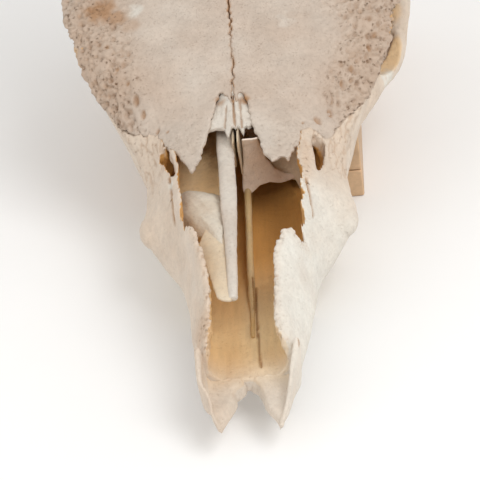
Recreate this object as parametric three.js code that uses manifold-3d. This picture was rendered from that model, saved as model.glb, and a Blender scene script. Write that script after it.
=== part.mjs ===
// Skull of an adult male waterbuck, life size, without its lower jaw, on a wooden block.
// Millimetres. The muzzle points along -Y, +Z is up and the cheek teeth stand on z = 0.
// Right and left are the animal's own, so its left side is at +X.

import * as THREE from 'three';
import { mergeVertices } from 'three/addons/utils/BufferGeometryUtils.js';
import Module from 'manifold-3d';

const wasm = await Module();
wasm.setup();
const { Manifold, Mesh } = wasm;

// Driving dimensions, with y measured back from the tips of the muzzle
const GAP = 0.3;                    // clearance at a suture between two bones
const RING = 28;                    // points around a section of the head
const CORONAL_Y = 334;              // suture between the frontals and the parietals
const SPIKE_Y = 185;                // front tip of the frontals on the midline
const NUCHAL_Y = 378;               // suture between the parietals and the occipital
const FLOOR_Z = 0;
const TOOTH_ROW = { front: 116, back: 221, across: 13.6, inFront: 18.5, inBack: 31 };
const ORBIT = { x: 68, y: 248, z: 73.5, length: 46, height: 38, depth: 40, floor: 53.6, floorThick: 4.6 };
const RING_SWELL = 0.06;            // swell of a horn ring as a share of the radius
const HORN = { x: 37, y: 292, z: 122, radius: 31, length: 640, rings: 24, sheathStart: 26 };
const BLOCK = { front: 222, back: 392, x: 4.5, width: 97, height: 41, plinth: 14 };
const BLOCK_REST = 286;             // front of the solid part of the cradle
const RAIL = 11;                    // width of the two arms in front of it
const BASE_Y = (BLOCK.front + BLOCK.back) / 2;
const blockLow = BLOCK.x - BLOCK.width / 2;
const blockHigh = BLOCK.x + BLOCK.width / 2;

// Outline of the head: y, bottom height, lower half-width, widest half-width and its height,
// upper edge half-width and height, and midline height
const STATIONS = [
  [24, 14, 14, 18.5, 19, 17.0, 30, 33],
  [36, 14, 15, 21.5, 22, 18.5, 39, 42],
  [60, 14, 17, 26.0, 26, 17.0, 50, 53],
  [85, 15, 19, 28.7, 28, 20.0, 61, 64],
  [105, 15, 24, 33.0, 31, 24.0, 65, 68],
  [122, 15, 30, 41.5, 34, 26.0, 66, 70],
  [139, 15, 33, 49.0, 39, 28.0, 66, 70],
  [152, 15, 35, 47.0, 43, 30.0, 66, 70],
  [170, 15, 38, 46.5, 47, 33.0, 66, 73],
  [188, 16, 41, 50.5, 55, 38.0, 68, 79],
  [203, 18, 42, 61.0, 66, 50.0, 78, 84],
  [218, 21, 40, 71.0, 78, 60.0, 86, 91],
  [236, 28, 36, 77.0, 88, 64.0, 94, 98],
  [262, 36, 32, 82.0, 96, 64.0, 102, 109],
  [278, 39, 32, 79.5, 97, 60.0, 108, 115],
  [292, 42, 32, 65.0, 92, 50.0, 112, 119],
  [315, 44, 34, 46.0, 74, 40.0, 116, 126],
  [345, 44, 34, 44.0, 72, 32.0, 110, 121],
  [372, 45, 33, 41.0, 68, 26.0, 94, 106],
  [390, 50, 24, 33.0, 66, 18.0, 84, 92],
];

// Inside of the nose: y, floor half-width, widest half-width, roof height and floor height
const NASAL_CAVITY = [
  [10, 11, 15, 40, 17],
  [34, 13, 17.5, 40, 20.6],
  [60, 15, 20, 47.5, 23.5],
  [85, 17, 23, 58, 26],
  [105, 19, 27, 62, 27],
  [140, 20, 33, 64, 28],
  [170, 20, 36, 66.5, 29],
  [196, 15, 30, 73, 31],
  [214, 8, 18, 73, 36],
];

// Plan of the opening that the lost nasal bones leave, a closed outline of x and y
const APERTURE = [
  [27, 10], [24, 31], [18.6, 32], [15.5, 36.1], [13.4, 42.4], [14.3, 59.2], [15.2, 77.1], [16.5, 80.4],
  [18.5, 86.9], [21.3, 91.1], [25.7, 89.6], [27.6, 108], [28.4, 132], [28.0, 168], [28, 200], [-30, 200],
  [-29.0, 160], [-27.4, 128], [-26.2, 100], [-21.7, 95.4], [-18.4, 84.9], [-15.4, 70.3], [-15.0, 58.7],
  [-15.2, 45.6], [-17.5, 32], [-24, 10],
];

// Free lower edge of each frontal, from the midline outwards
const FRONTAL_EDGE_LEFT = [
  [0.6, 185.4], [1.3, 189], [2.3, 194.6], [3.4, 190], [4.4, 187], [5.6, 181], [7.2, 168],
  [10.2, 160], [11.6, 150], [14.2, 145.2], [15.6, 142.4], [17.9, 145], [20.8, 148.4], [22.2, 143.8], [24.4, 149], [26, 156], [27.8, 157.6],
  [28.6, 170], [33.2, 174], [38.8, 172.4], [46, 181], [54, 186], [62, 191], [72, 194],
];
const FRONTAL_EDGE_RIGHT = [
  [-2.8, 185.4], [-4.4, 188.6], [-6.6, 192.8], [-7.8, 190.6], [-9.2, 187], [-10.8, 181.4], [-13.6, 170.4],
  [-15.2, 163], [-16.8, 156], [-17.8, 148], [-19.8, 143.6], [-21.4, 140.2], [-23, 144.4],
  [-25, 150.4], [-26.6, 155.6], [-29, 162], [-31.4, 166.6], [-34.4, 171], [-36.4, 180], [-41, 186],
  [-48, 190], [-56, 194], [-64, 198], [-74, 200],
];

// Small tools
function profile(rows, column) {
  const curve = (y) => {
    const last = rows.length - 1;
    if (y <= rows[0][0]) return rows[0][column];
    if (y >= rows[last][0]) return rows[last][column];
    const i = rows.findIndex((row) => row[0] > y) - 1;
    const before = rows[Math.max(i - 1, 0)];
    const after = rows[Math.min(i + 2, last)];
    const [a, b] = [rows[i], rows[i + 1]];
    const span = b[0] - a[0];
    const t = (y - a[0]) / span;
    const slopeA = (b[column] - before[column]) / (b[0] - before[0]) * span;
    const slopeB = (after[column] - a[column]) / (after[0] - a[0]) * span;
    const h = t * t * (3 - 2 * t);
    return a[column] * (1 - h) + b[column] * h
      + slopeA * (t ** 3 - 2 * t * t + t) + slopeB * (t ** 3 - t * t);
  };
  return curve;
}

function solid(geometry) {
  const bare = geometry.index ? geometry : mergeVertices(geometry);
  bare.deleteAttribute('normal');
  bare.deleteAttribute('uv');
  const merged = mergeVertices(bare, 1e-4);
  return new Manifold(new Mesh({
    numProp: 3,
    vertProperties: new Float32Array(merged.attributes.position.array),
    triVerts: new Uint32Array(merged.index.array),
  }));
}

// Closed body through rings of points, one ring after another, with a fan at each end
function loft(rings, around = rings[0].length) {
  const points = rings.flat();
  const index = [];
  for (let k = 0; k < rings.length - 1; k += 1) {
    for (let i = 0; i < around; i += 1) {
      const j = (i + 1) % around;
      const [a, b] = [k * around + i, k * around + j];
      index.push(a, b, a + around, b, b + around, a + around);
    }
  }
  for (const [start, flip] of [[0, true], [(rings.length - 1) * around, false]]) {
    const centre = new THREE.Vector3();
    for (let i = 0; i < around; i += 1) centre.addScaledVector(points[start + i], 1 / around);
    points.push(centre);
    const hub = points.length - 1;
    for (let i = 0; i < around; i += 1) {
      const j = (i + 1) % around;
      index.push(hub, start + (flip ? j : i), start + (flip ? i : j));
    }
  }
  const geometry = new THREE.BufferGeometry().setFromPoints(points);
  geometry.setIndex(index);
  const body = solid(geometry);
  if (body.volume() > 0) return body;
  for (let i = 0; i < index.length; i += 3) [index[i], index[i + 1]] = [index[i + 1], index[i]];
  geometry.setIndex(index);
  return solid(geometry);
}

// Rod of oval section along a smooth path: each stop is [x, y, z, half-width, half-height]
function rod(stops, sides = 10, steps = (stops.length - 1) * 4, ripple = () => 1) {
  const path = new THREE.CatmullRomCurve3(stops.map((s) => new THREE.Vector3(s[0], s[1], s[2])));
  const size = new THREE.CatmullRomCurve3(stops.map((s) => new THREE.Vector3(s[3], s[4] ?? s[3], 0)));
  const side = new THREE.Vector3().crossVectors(path.getTangent(0), new THREE.Vector3(0, 0, 1));
  if (side.length() < 0.2) side.set(1, 0, 0);
  const rings = [];
  for (let k = 0; k <= steps; k += 1) {
    const t = k / steps;
    const at = path.getPoint(t);
    const tangent = path.getTangent(t);
    const wide = size.getPoint(t);
    side.addScaledVector(tangent, -side.dot(tangent)).normalize();
    const up = new THREE.Vector3().crossVectors(side, tangent).normalize();
    const grow = ripple(t);
    const ring = [];
    for (let i = 0; i < sides; i += 1) {
      const angle = (2 * Math.PI * i) / sides;
      ring.push(at.clone()
        .addScaledVector(side, Math.cos(angle) * wide.x * grow)
        .addScaledVector(up, Math.sin(angle) * wide.y * grow));
    }
    rings.push(ring);
  }
  return loft(rings);
}

function plan(outline, low, high) {
  const shape = new THREE.Shape(outline.map(([x, y]) => new THREE.Vector2(x, y)));
  const geometry = new THREE.ExtrudeGeometry(shape, { depth: high - low, bevelEnabled: false });
  return solid(geometry.translate(0, 0, low));
}

function side(outline, from, to) {
  const shape = new THREE.Shape(outline.map(([y, z]) => new THREE.Vector2(y, z)));
  const geometry = new THREE.ExtrudeGeometry(shape, { depth: to - from, bevelEnabled: false });
  const turn = new THREE.Matrix4().makeBasis(
    new THREE.Vector3(0, 1, 0), new THREE.Vector3(0, 0, 1), new THREE.Vector3(1, 0, 0));
  return solid(geometry.applyMatrix4(turn).translate(from, 0, 0));
}

function front(outline, from, to) {
  const shape = new THREE.Shape(outline.map(([x, z]) => new THREE.Vector2(x, z)));
  const geometry = new THREE.ExtrudeGeometry(shape, { depth: to - from, bevelEnabled: false });
  return solid(geometry.rotateX(Math.PI / 2).translate(0, to, 0));
}

function box(x0, x1, y0, y1, z0, z1) {
  const geometry = new THREE.BoxGeometry(x1 - x0, y1 - y0, z1 - z0);
  return solid(geometry.translate((x0 + x1) / 2, (y0 + y1) / 2, (z0 + z1) / 2));
}

function egg(x, y, z, rx, ry, rz, detail = 14) {
  const geometry = new THREE.SphereGeometry(1, detail, Math.round(detail * 0.7));
  return solid(geometry.scale(rx, ry, rz).translate(x, y, z));
}

function union(...bodies) {
  return bodies.reduce((sum, body) => sum.add(body));
}

function largest(body) {
  return body.decompose().sort((a, b) => b.volume() - a.volume())[0];
}

// Whole head, before it is parted into bones
const bottom = profile(STATIONS, 1);
const lowWidth = profile(STATIONS, 2);
const fullWidth = profile(STATIONS, 3);
const fullHeight = profile(STATIONS, 4);
const edgeWidth = profile(STATIONS, 5);
const edgeHeight = profile(STATIONS, 6);
const crown = profile(STATIONS, 7);

// The cheeks sit a little to the left of the midline
const lean = profile([[24, 0], [60, 1], [90, 2], [140, 2.2], [170, 1.4], [205, 0]], 1);

function headRing(y) {
  const half = [
    [0, bottom(y)],
    [lowWidth(y) * 0.6, bottom(y)],
    [lowWidth(y), bottom(y) + 1.5],
    [fullWidth(y) * 0.97, fullHeight(y) - 5],
    [fullWidth(y), fullHeight(y)],
    [(fullWidth(y) + edgeWidth(y)) / 2 + 1, (fullHeight(y) + edgeHeight(y)) / 2 + 1],
    [edgeWidth(y), edgeHeight(y)],
    [edgeWidth(y) * 0.5, edgeHeight(y) * 0.3 + crown(y) * 0.7],
    [0, crown(y)],
  ];
  const back = half.slice(1, -1).reverse().map(([x, z]) => [-x, z]);
  const shift = (z) => lean(y) * Math.max(0, Math.min(1, (64 - z) / 20));
  const curve = new THREE.CatmullRomCurve3(
    [...half, ...back].map(([x, z]) => new THREE.Vector3(x + shift(z), y, z)), true, 'centripetal');
  return curve.getPoints(RING).slice(0, RING);
}

const HEAD_STEPS = 28;
const headYs = Array.from({ length: HEAD_STEPS + 1 }, (_, i) => 24 + ((390 - 24) * i) / HEAD_STEPS);
const headBlank = loft(headYs.map(headRing));

// Nasal cavity, open at the front and, along the lost nasal bones, at the top
const floorWidth = profile(NASAL_CAVITY, 1);
const roomWidth = profile(NASAL_CAVITY, 2);
const roofHeight = profile(NASAL_CAVITY, 3);
const groundHeight = profile(NASAL_CAVITY, 4);
function cavityRing(y) {
  const roof = roofHeight(y);
  const ground = groundHeight(y);
  const half = [
    [0, ground], [floorWidth(y), ground + 1], [roomWidth(y), (ground + roof) / 2 - 2],
    [roomWidth(y) * 0.8, roof - 4], [roomWidth(y) * 0.4, roof], [0, roof],
  ];
  const back = half.slice(1, -1).reverse().map(([x, z]) => [-x, z]);
  const curve = new THREE.CatmullRomCurve3(
    [...half, ...back].map(([x, z]) => new THREE.Vector3(x, y, z)), true, 'centripetal');
  return curve.getPoints(20).slice(0, 20);
}
const cavityYs = [10, 36, 60, 80, 100, 118, 136, 154, 172, 190, 204, 214];
const cavity = loft(cavityYs.map(cavityRing));
const aperture = plan(APERTURE, 32, 120);
const frontAperture = plan([[-30, 5], [30, 5], [24.5, 33.5], [-24.5, 33.5]], 24, 60);

// Orbits and the temporal hollows behind them
function orbit(sign) {
  const eye = egg(0, 0, 0, ORBIT.depth, ORBIT.length / 2, ORBIT.height / 2, 18);
  return eye.rotate([0, sign * 12, sign * -16]).translate([sign * ORBIT.x, ORBIT.y, ORBIT.z]);
}
function temporalHollow(sign) {
  const well = egg(0, 0, 0, 26, 34, 40, 14);
  return well.translate([sign * 68, 300, 52]);
}

const LINE = [[140, 50], [200, 62], [236, 70], [262, 77], [300, 80], [345, 84], [420, 84]];
const FAR = 120;
const HIGH = 190;
const aboveLine = side([...LINE, [420, HIGH], [140, HIGH]], -FAR, FAR);
const belowLine = side([[10, 0], [420, 0], ...LINE.map(([y, z]) => [y, z - GAP]).reverse(),
  [140, 90], [10, 90]], -FAR, FAR);

function spread(outline, distance) {
  const area = THREE.ShapeUtils.area(outline.map(([x, y]) => new THREE.Vector2(x, y)));
  return outline.map(([x, y], i) => {
    const [px, py] = outline[(i + outline.length - 1) % outline.length];
    const [nx, ny] = outline[(i + 1) % outline.length];
    const long = Math.hypot(nx - px, ny - py);
    const out = (Math.sign(area) * distance) / long;
    return [x + (ny - py) * out, y - (nx - px) * out];
  });
}

function frontalOutline(sign, gap = 0) {
  const edge = sign > 0 ? FRONTAL_EDGE_LEFT : FRONTAL_EDGE_RIGHT;
  return [[sign * (GAP / 2 - gap), SPIKE_Y - gap], ...edge.map(([x, y]) => [x, y - gap]),
    [sign * FAR, 205 - gap], [sign * FAR, CORONAL_Y - 30 + gap], [sign * 34, CORONAL_Y - 4 + gap],
    [sign * 24, CORONAL_Y + gap], [sign * (GAP / 2 - gap), CORONAL_Y + 2 + gap]];
}

// Lower rim of the orbit, which runs on as the cheek arch; the two sides aren't quite alike
const RIM_LEFT = [[43, 190, 47, 5, 8], [49.8, 207, 50, 5, 9], [58.2, 222, 53, 4.4, 8],
  [65, 238, 53, 4, 6.5], [73, 257, 52.5, 3.6, 6], [75.4, 272, 56, 3.6, 6.5]];
const RIM_RIGHT = [[40, 190, 47, 5, 8], [44.5, 207, 50, 5, 9], [51.2, 222, 53, 4.4, 8],
  [58.5, 238, 53, 4, 6.5], [68.2, 257, 52.5, 3.6, 6], [71.6, 272, 56, 3.6, 6.5]];
const ARCH = [[67, 290, 59, 3.4, 6.5], [62, 308, 60, 4, 7], [53, 324, 64, 7, 7], [37, 336, 68, 8, 8]];
function orbitRim(sign) {
  return [...(sign > 0 ? RIM_LEFT : RIM_RIGHT), ...ARCH];
}

// Post behind the eye, from the lower rim up to the frontal
const POST_LEFT = [[72.6, 274, 51, 6.5, 4.6], [74.8, 274, 62, 6.2, 4.8], [77.5, 275, 76, 6, 5.2],
  [74, 275, 92, 8, 6.4]];
const POST_RIGHT = [[68.2, 274, 51, 6.5, 4.6], [63.5, 274, 62, 6, 4.8], [64.6, 275, 76, 6.2, 5.2],
  [70, 275, 92, 8, 6.4]];

// Added forms, which the sutures then divide with the rest
function mirror(sign, stops) {
  return stops.map(([x, ...rest]) => [sign * x, ...rest]);
}

function additions(sign) {
  return [
    // pedicle that carries the horn
    rod(mirror(sign, [[HORN.x - 3, HORN.y - 5, HORN.z - 24, 30, 31], [HORN.x, HORN.y, HORN.z, 27.5, 28.5],
      [HORN.x + 4, HORN.y + 10, HORN.z + HORN.sheathStart, 25.5, 26.5]]), 16, 4),
    // lower rim of the orbit and the front of the cheek arch
    rod(mirror(sign, orbitRim(sign)), 8, 20),
    // ear capsule and ear tube
    rod(mirror(sign, [[21, 322, 62, 6, 8], [22.5, 330, 53, 9, 10], [23, 340, 50, 8, 7],
      [23, 350, 56, 5, 6]]), 8, 6),
    rod(mirror(sign, [[24, 342, 62, 7, 7], [36, 346, 64, 7, 6], [45, 347, 66, 5, 4.5]]), 8, 3),
    // process beside the great hole, and the joint knob
    rod(mirror(sign, [[30, 382, 68, 8, 7], [32, 384, 56, 6, 5], [31, 384, 46, 4, 4],
      [30.5, 383, 43.9, 2.6, 2.6]]), 8, 4),
    rod(mirror(sign, [[13, 378, 54, 9, 11], [14.5, 392, 51, 10, 13], [13, 402, 54, 7, 9]]), 10, 4),
    // wing of the pterygoid
    rod(mirror(sign, [[13, 262, 44, 3, 14], [14, 244, 36, 2.6, 14], [15, 230, 30, 2.4, 9]]), 8, 4),
    // knob of the facial tuber
    egg(sign * 44 + 1.6, sign > 0 ? 136 : 141, 37.5, 6.4, 11, 6.5, 10),
  ];
}

// Floor and post, which close the ring around the eye
function eyeRing(sign) {
  const outer = orbitRim(sign).slice(1, 6).map(([x, y]) => [x, y]);
  const low = ORBIT.floor - ORBIT.floorThick;
  return union(plan(mirror(sign, [...outer, [62, 274], [46, 262]]), low, ORBIT.floor),
    rod(mirror(sign, sign > 0 ? POST_LEFT : POST_RIGHT), 10, 8));
}

const nuchalCrest = rod([[-41, 374, 74, 4, 5], [-31, 382, 92, 4, 6], [0, 386, 101, 4, 7],
  [31, 382, 92, 4, 6], [41, 374, 74, 4, 5]], 8, 8);
const basilar = rod([[0, 300, 52, 9, 9], [0, 345, 50, 12, 8.6], [0, 380, 52, 13, 9]], 10, 5);
const greatHole = rod([[0, 368, 62, 9, 9], [0, 412, 58, 10, 10]], 12, 2);

const bed = box(-FAR, FAR, BLOCK.front - 1, 430, -1, BLOCK.height + GAP)
  .subtract(box(blockLow + RAIL + GAP, blockHigh - RAIL - GAP, 200, BLOCK_REST - 1, -5, 60));

let whole = union(headBlank, nuchalCrest, basilar, ...additions(1), ...additions(-1))
  .subtract(cavity).subtract(greatHole).subtract(bed);
for (const sign of [1, -1]) {
  whole = whole.subtract(orbit(sign)).subtract(temporalHollow(sign)).add(eyeRing(sign));
}

// Sutures: every bone is the part of the whole that lies in its own region
const CHEEK = side([[193, 20], [193, 48], [201, 60], [214, 63], [236, 66], [262, 72], [262, 95],
  [282 - GAP / 2, 95], [282 - GAP / 2, 20]], 46, FAR);
const LACRIMAL = [[28.8, 178], [44, 200], [52, 238], [84, 238], [84, 192], [62, 182], [52, 173],
  [44.5, 161], [38, 146], [33.4, 129], [27, 131]];
const TEAR_GAP = [[34.6, 176], [36.4, 160], [42.6, 178]];

const shape = {};
const frontalSpace = union(...[1, -1].map((sign) => plan(frontalOutline(sign, GAP), 40, HIGH)
  .intersect(aboveLine.translate([0, 0, -GAP / 2]))));
const rest = whole.subtract(aperture).subtract(frontAperture).subtract(frontalSpace);
const low = rest.intersect(belowLine);
for (const [sign, name] of [[1, 'left'], [-1, 'right']]) {
  const turned = (outline) => mirror(sign, outline);
  const cheekSpace = sign > 0 ? CHEEK : CHEEK.mirror([1, 0, 0]);
  const [x0, x1] = sign > 0 ? [0, FAR] : [-FAR, 0];
  const half = (inner, y0, y1, z0, z1) => (sign > 0
    ? box(inner, x1, y0, y1, z0, z1) : box(x0, -inner, y0, y1, z0, z1));
  shape[`frontal_${name}`] = whole.intersect(plan(frontalOutline(sign), 40, HIGH)).intersect(aboveLine);
  const jugal = low.intersect(cheekSpace);
  shape[`jugal_${name}`] = jugal;
  const tear = plan(turned(LACRIMAL), 44, 130);
  const tearWide = plan(turned(spread(LACRIMAL, GAP)), 43.7, 130);
  const cheekWide = union(cheekSpace.translate([0, -GAP, 0]), cheekSpace.translate([0, 0, GAP]),
    cheekSpace.translate([-sign * GAP, 0, 0]), cheekSpace);
  shape[`lacrimal_${name}`] = rest.intersect(tear).subtract(cheekWide)
    .subtract(plan(turned(TEAR_GAP), 40, 130));
  shape[`temporal_${name}`] = low.intersect(union(
    half(17, 282 + GAP / 2, NUCHAL_Y - GAP / 2, 0, 100)));
  const palateSpace = half(0, 196 - GAP, 236, 0, 30 + GAP).intersect(box(-20, 20, 0, 400, 0, 100));
  const teethHere = teeth(sign);
  shape[`maxilla_${name}`] = union(rest.intersect(half(GAP / 2, 34, 236, 0, 95))
    .subtract(tearWide).subtract(palateSpace), teethHere).subtract(cheekWide);
}
shape.palatine = low.intersect(box(-19.7, 19.7, 196, 236, 0, 30));
shape.sphenoid = low.intersect(union(box(-46 + GAP, 46 - GAP, 236 + GAP, 282 - GAP / 2, 0, 100),
  box(-17 + GAP, 17 - GAP, 281, 352, 0, 100)));
shape.occipital = union(rest.intersect(box(-FAR, FAR, NUCHAL_Y + GAP / 2, 420, 0, HIGH)),
  low.intersect(box(-17 + GAP, 17 - GAP, 352 + GAP, 379, 0, 100)));
shape.parietal = rest.intersect(aboveLine).intersect(box(-FAR, FAR, CORONAL_Y - 32, NUCHAL_Y - GAP / 2,
  60, HIGH));

// Teeth of one side: columns with paired lobes, growing from the front of the row to the back
function teeth(sign) {
  const { front, back, across, inFront, inBack } = TOOTH_ROW;
  const share = [0.12, 0.14, 0.15, 0.18, 0.205, 0.205];
  let y = front;
  const crowns = share.map((part, i) => {
    const long = (back - front) * part;
    const middle = y + long / 2;
    const x = inFront + ((inBack - inFront) * i) / (share.length - 1);
    const wide = across * (i < 3 ? 0.76 : 1) * 0.94;
    y += long;
    const lobes = i < 3 ? 1 : 2;
    return union(...Array.from({ length: lobes }, (_, k) => {
      const at = middle + (k - (lobes - 1) / 2) * long * 0.46;
      const geometry = new THREE.CylinderGeometry(1, 0.86, 24, 8);
      geometry.rotateX(Math.PI / 2).scale(wide / 2, (long / lobes) * 0.57, 1);
      return solid(geometry.translate(sign * (x + 2), at, 12));
    }));
  });
  return union(...crowns);
}

// Front bones of the muzzle: each a gutter with a floor, an outer wall and a pointed tip
const MUZZLE_OUTER_LEFT = [[-1.5, 13.9], [4, 15.4], [10, 17.4], [24, 20.6], [33.6, 23.4]];
const MUZZLE_OUTER_RIGHT = [[-0.5, 14.2], [7, 17.0], [15, 18.8], [21, 22.0], [33.6, 22.6]];
const MUZZLE_INNER_LEFT = [[-1.5, 13.0], [6, 10.8], [15, 7.0], [24, 5.0], [31, 2.8], [33.6, 0.3]];
const MUZZLE_INNER_RIGHT = [[-0.5, 13.2], [6, 11.2], [14, 8.6], [21, 6.4], [26, 6.6], [31, 2.8], [33.6, 2.2]];
function premaxilla(sign) {
  const outer = profile(sign > 0 ? MUZZLE_OUTER_LEFT : MUZZLE_OUTER_RIGHT, 1);
  const inner = profile(sign > 0 ? MUZZLE_INNER_LEFT : MUZZLE_INNER_RIGHT, 1);
  const start = sign > 0 ? -1.5 : -0.5;
  const ys = Array.from({ length: 10 }, (_, i) => start + ((33.6 - start) * i) / 9);
  return loft(ys.map((y) => {
    const grow = (y - start) / (33.6 - start);
    const bottomZ = 13.4 - 1.4 * grow;
    const floorZ = bottomZ + 2.2 + 6.4 * grow;
    const wall = 1.2 + 2 * grow;
    const topZ = floorZ + 1 + 17 * grow ** 1.1;
    return [[inner(y), bottomZ + 0.8], [outer(y) - wall * 1.6, bottomZ],
      [outer(y) - wall * 0.6, bottomZ + 1.6], [outer(y) - 0.2, (bottomZ + topZ) / 2], [outer(y), topZ],
      [outer(y) - wall * 0.7, topZ - 0.3], [outer(y) - wall * 1.5, floorZ + 1.4],
      [inner(y) + wall * 0.4, floorZ]].map(([x, z]) => new THREE.Vector3(sign * x, y, z));
  }));
}

// The right nasal bone that is left, with the thin sheet beside it
const room = loft(cavityYs.map((y) => cavityRing(y).map((p) => new THREE.Vector3(
  p.x - Math.sign(p.x) * GAP, p.y, p.z + (p.z < 45 ? GAP : -GAP)))));
const strip = rod([[-6.8, 199, 69.5, 3.5, 1.4], [-6.8, 176, 65, 4, 1.5], [-5.7, 136, 59, 4, 1.6],
  [-4.9, 90, 53.4, 2.8, 1.6], [-4.5, 57.5, 47.8, 2, 1.5]], 8, 14);
const sheet = plan([[-4.2, 57.6], [-7, 56.8], [-9.6, 57.4], [-11.8, 60], [-14.4, 73], [-17, 86], [-20, 104],
  [-17, 112], [-9, 113], [-4.6, 90]], 0, 1.8).rotate([6.8, 0, 0]).translate([0, 0, 40.8]);
shape.nasal_right = union(strip, sheet);
shape.nasal_stubs = whole.intersect(plan([[-8.4, 186], [-6.6, 190.4], [-5, 187], [-2.6, 183.6], [0.6, 183.6],
  [1.6, 187.6], [2.3, 191], [3.2, 187.4], [4.4, 181], [5.8, 172.8], [4.6, 170.6], [3.6, 173.6], [2.6, 166],
  [0.4, 172], [-1.2, 170.4], [-2.4, 173.6], [-4.6, 165.4], [-6.2, 171.4], [-10, 173.2], [-12, 173],
  [-10, 180.4]], 66, HIGH))
  .translate([0, 0, -1.2]);

// Thin plates inside the nose
shape.vomer = union(
  side([[52, 27 + GAP], [60, 29], [110, 35], [178, 42], [206, 49], [206, 27 + GAP]], 0.2, 2.4),
  rod([[1.3, 56, 28, 1.6, 1.6], [1.3, 110, 35, 2.2, 2], [1.3, 178, 42, 2, 2], [1.3, 205, 48, 2, 2]], 8, 6)
    .intersect(box(-10, 10, 40, 206, 27 + GAP, 80)));
shape.septum = union(side([[163, 68], [168, 52], [206, 52], [206, 71]], -3.4, -2.2),
  side([[160, 70], [166, 49], [208, 49], [208, 72]], -0.9, 0.3),
  side([[186, 50], [206, 50], [206, 66], [190, 66]], -2.8, 0)).intersect(room);
shape.turbinate_left = front([[1.8, 63.4], [2.2, 54], [4.6, 40], [8, 46.6], [14, 51.4], [22, 52.6],
  [26, 54], [24.6, 60], [14, 64.4], [7, 64.8]], 166, 168.2);
shape.turbinate_right = rod([[-33, 150, 47, 3, 9], [-27, 144, 49, 3, 10], [-20, 138, 47, 3.4, 9],
  [-14.4, 128, 44, 3, 6], [-12, 118, 42, 2.6, 3.4]], 10, 10).intersect(room);

// A loose plate keeps the clearance of a suture to each bone that it meets
function clearOf(body, ...names) {
  const { min, max } = body.boundingBox();
  const reach = 1;
  const window = box(min[0] - reach, max[0] + reach, min[1] - reach, max[1] + reach,
    min[2] - reach, max[2] + reach);
  const near = union(...names.map((name) => shape[name].intersect(window)));
  const moves = [[0, 0, 0], [GAP, 0, 0], [-GAP, 0, 0], [0, GAP, 0], [0, -GAP, 0], [0, 0, GAP], [0, 0, -GAP]];
  return largest(moves.reduce((left, move) => left.subtract(near.translate(move)), body));
}
const around = ['frontal_left', 'frontal_right', 'maxilla_left', 'maxilla_right', 'lacrimal_left',
  'lacrimal_right', 'palatine'];
const inside = ['nasal_stubs', 'nasal_right', 'vomer', 'septum', 'turbinate_right'];
for (const name of inside) {
  const done = inside.slice(0, inside.indexOf(name));
  shape[name] = clearOf(shape[name], ...around, ...done);
}

// Horn sheaths: ringed for most of their length, swept back and out, then up and in to the tips
function horn(sign) {
  const { x, y, z, radius, rings, sheathStart } = HORN;
  const root = sheathStart - 14;
  const stops = [[x + 3, y + 5, z + root, 31, 33], [x + 15, y + 44, z + 74, 28, 30],
    [x + 48, y + 112, z + 172, 24, 26], [x + 86, y + 164, z + 288, 19, 21],
    [x + 108, y + 172, z + 404, 14, 15], [x + 106, y + 140, z + 506, 8.5, 9],
    [x + 96, y + 112, z + 570, 2.6, 2.6]];
  const ripple = (t) => (t < 0.76 ? 1 + RING_SWELL * Math.sin(2 * Math.PI * rings * t / 0.76) * (1 - t) : 1);
  const sheath = rod(mirror(sign, stops), 10, 54, ripple);
  const socket = rod(mirror(sign, [[x - 3, y - 5, z - 24, 30.4, 31.4], [x, y, z, 28, 29],
    [x + 4, y + 10, z + sheathStart + 0.4, 26, 27]]), 16, 4);
  return sheath.subtract(socket).subtract(frontalGuard);
}
const frontalGuard = shape.frontal_left.add(shape.frontal_right).translate([0, 0, GAP]);

for (const [sign, name] of [[1, 'left'], [-1, 'right']]) {
  shape[`premaxilla_${name}`] = premaxilla(sign);
  shape[`horn_${name}`] = horn(sign);
}

// Wooden cradle under the braincase
const plinthTop = BLOCK.plinth;
const armLow = plinthTop + GAP;
const armBack = BLOCK_REST - GAP;
shape.stand_plinth = box(blockLow, blockHigh, BLOCK.front, BLOCK.back, FLOOR_Z, plinthTop);
shape.stand_block = box(blockLow, blockHigh, BLOCK_REST, BLOCK.back, armLow, BLOCK.height);
shape.stand_rail_left = box(blockHigh - RAIL, blockHigh, BLOCK.front, armBack, armLow, BLOCK.height);
shape.stand_rail_right = box(blockLow, blockLow + RAIL, BLOCK.front, armBack, armLow, BLOCK.height);

const FINISH = {
  bone: { color: 0xd8c8b4, roughness: 0.62, metalness: 0 },
  inner: { color: 0xa8814f, roughness: 0.7, metalness: 0 },
  horn: { color: 0x3b2c22, roughness: 0.5, metalness: 0 },
  wood: { color: 0xb8946f, roughness: 0.6, metalness: 0 },
};
const finishOf = (name) => {
  if (name.startsWith('horn')) return FINISH.horn;
  if (name.startsWith('stand')) return FINISH.wood;
  return /vomer|septum|turbinate/.test(name) ? FINISH.inner : FINISH.bone;
};

function meshOf(name, body) {
  const { vertProperties, triVerts } = largest(body).getMesh();
  const geometry = new THREE.BufferGeometry();
  geometry.setAttribute('position', new THREE.BufferAttribute(vertProperties, 3));
  geometry.setIndex(new THREE.BufferAttribute(triVerts, 1));
  geometry.computeVertexNormals();
  const mesh = new THREE.Mesh(geometry, new THREE.MeshStandardMaterial(finishOf(name)));
  mesh.name = name;
  return mesh;
}

// The origin is the middle of the cradle's underside
const group = new THREE.Group();
group.position.set(-BLOCK.x, -BASE_Y, 0);
for (const [name, body] of Object.entries(shape)) group.add(meshOf(name, body));

export default group;
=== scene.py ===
"""Skull of an adult male waterbuck on its wooden cradle, as a museum piece."""

import bpy
import numpy as np
from mathutils import Euler, Matrix, Vector


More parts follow.
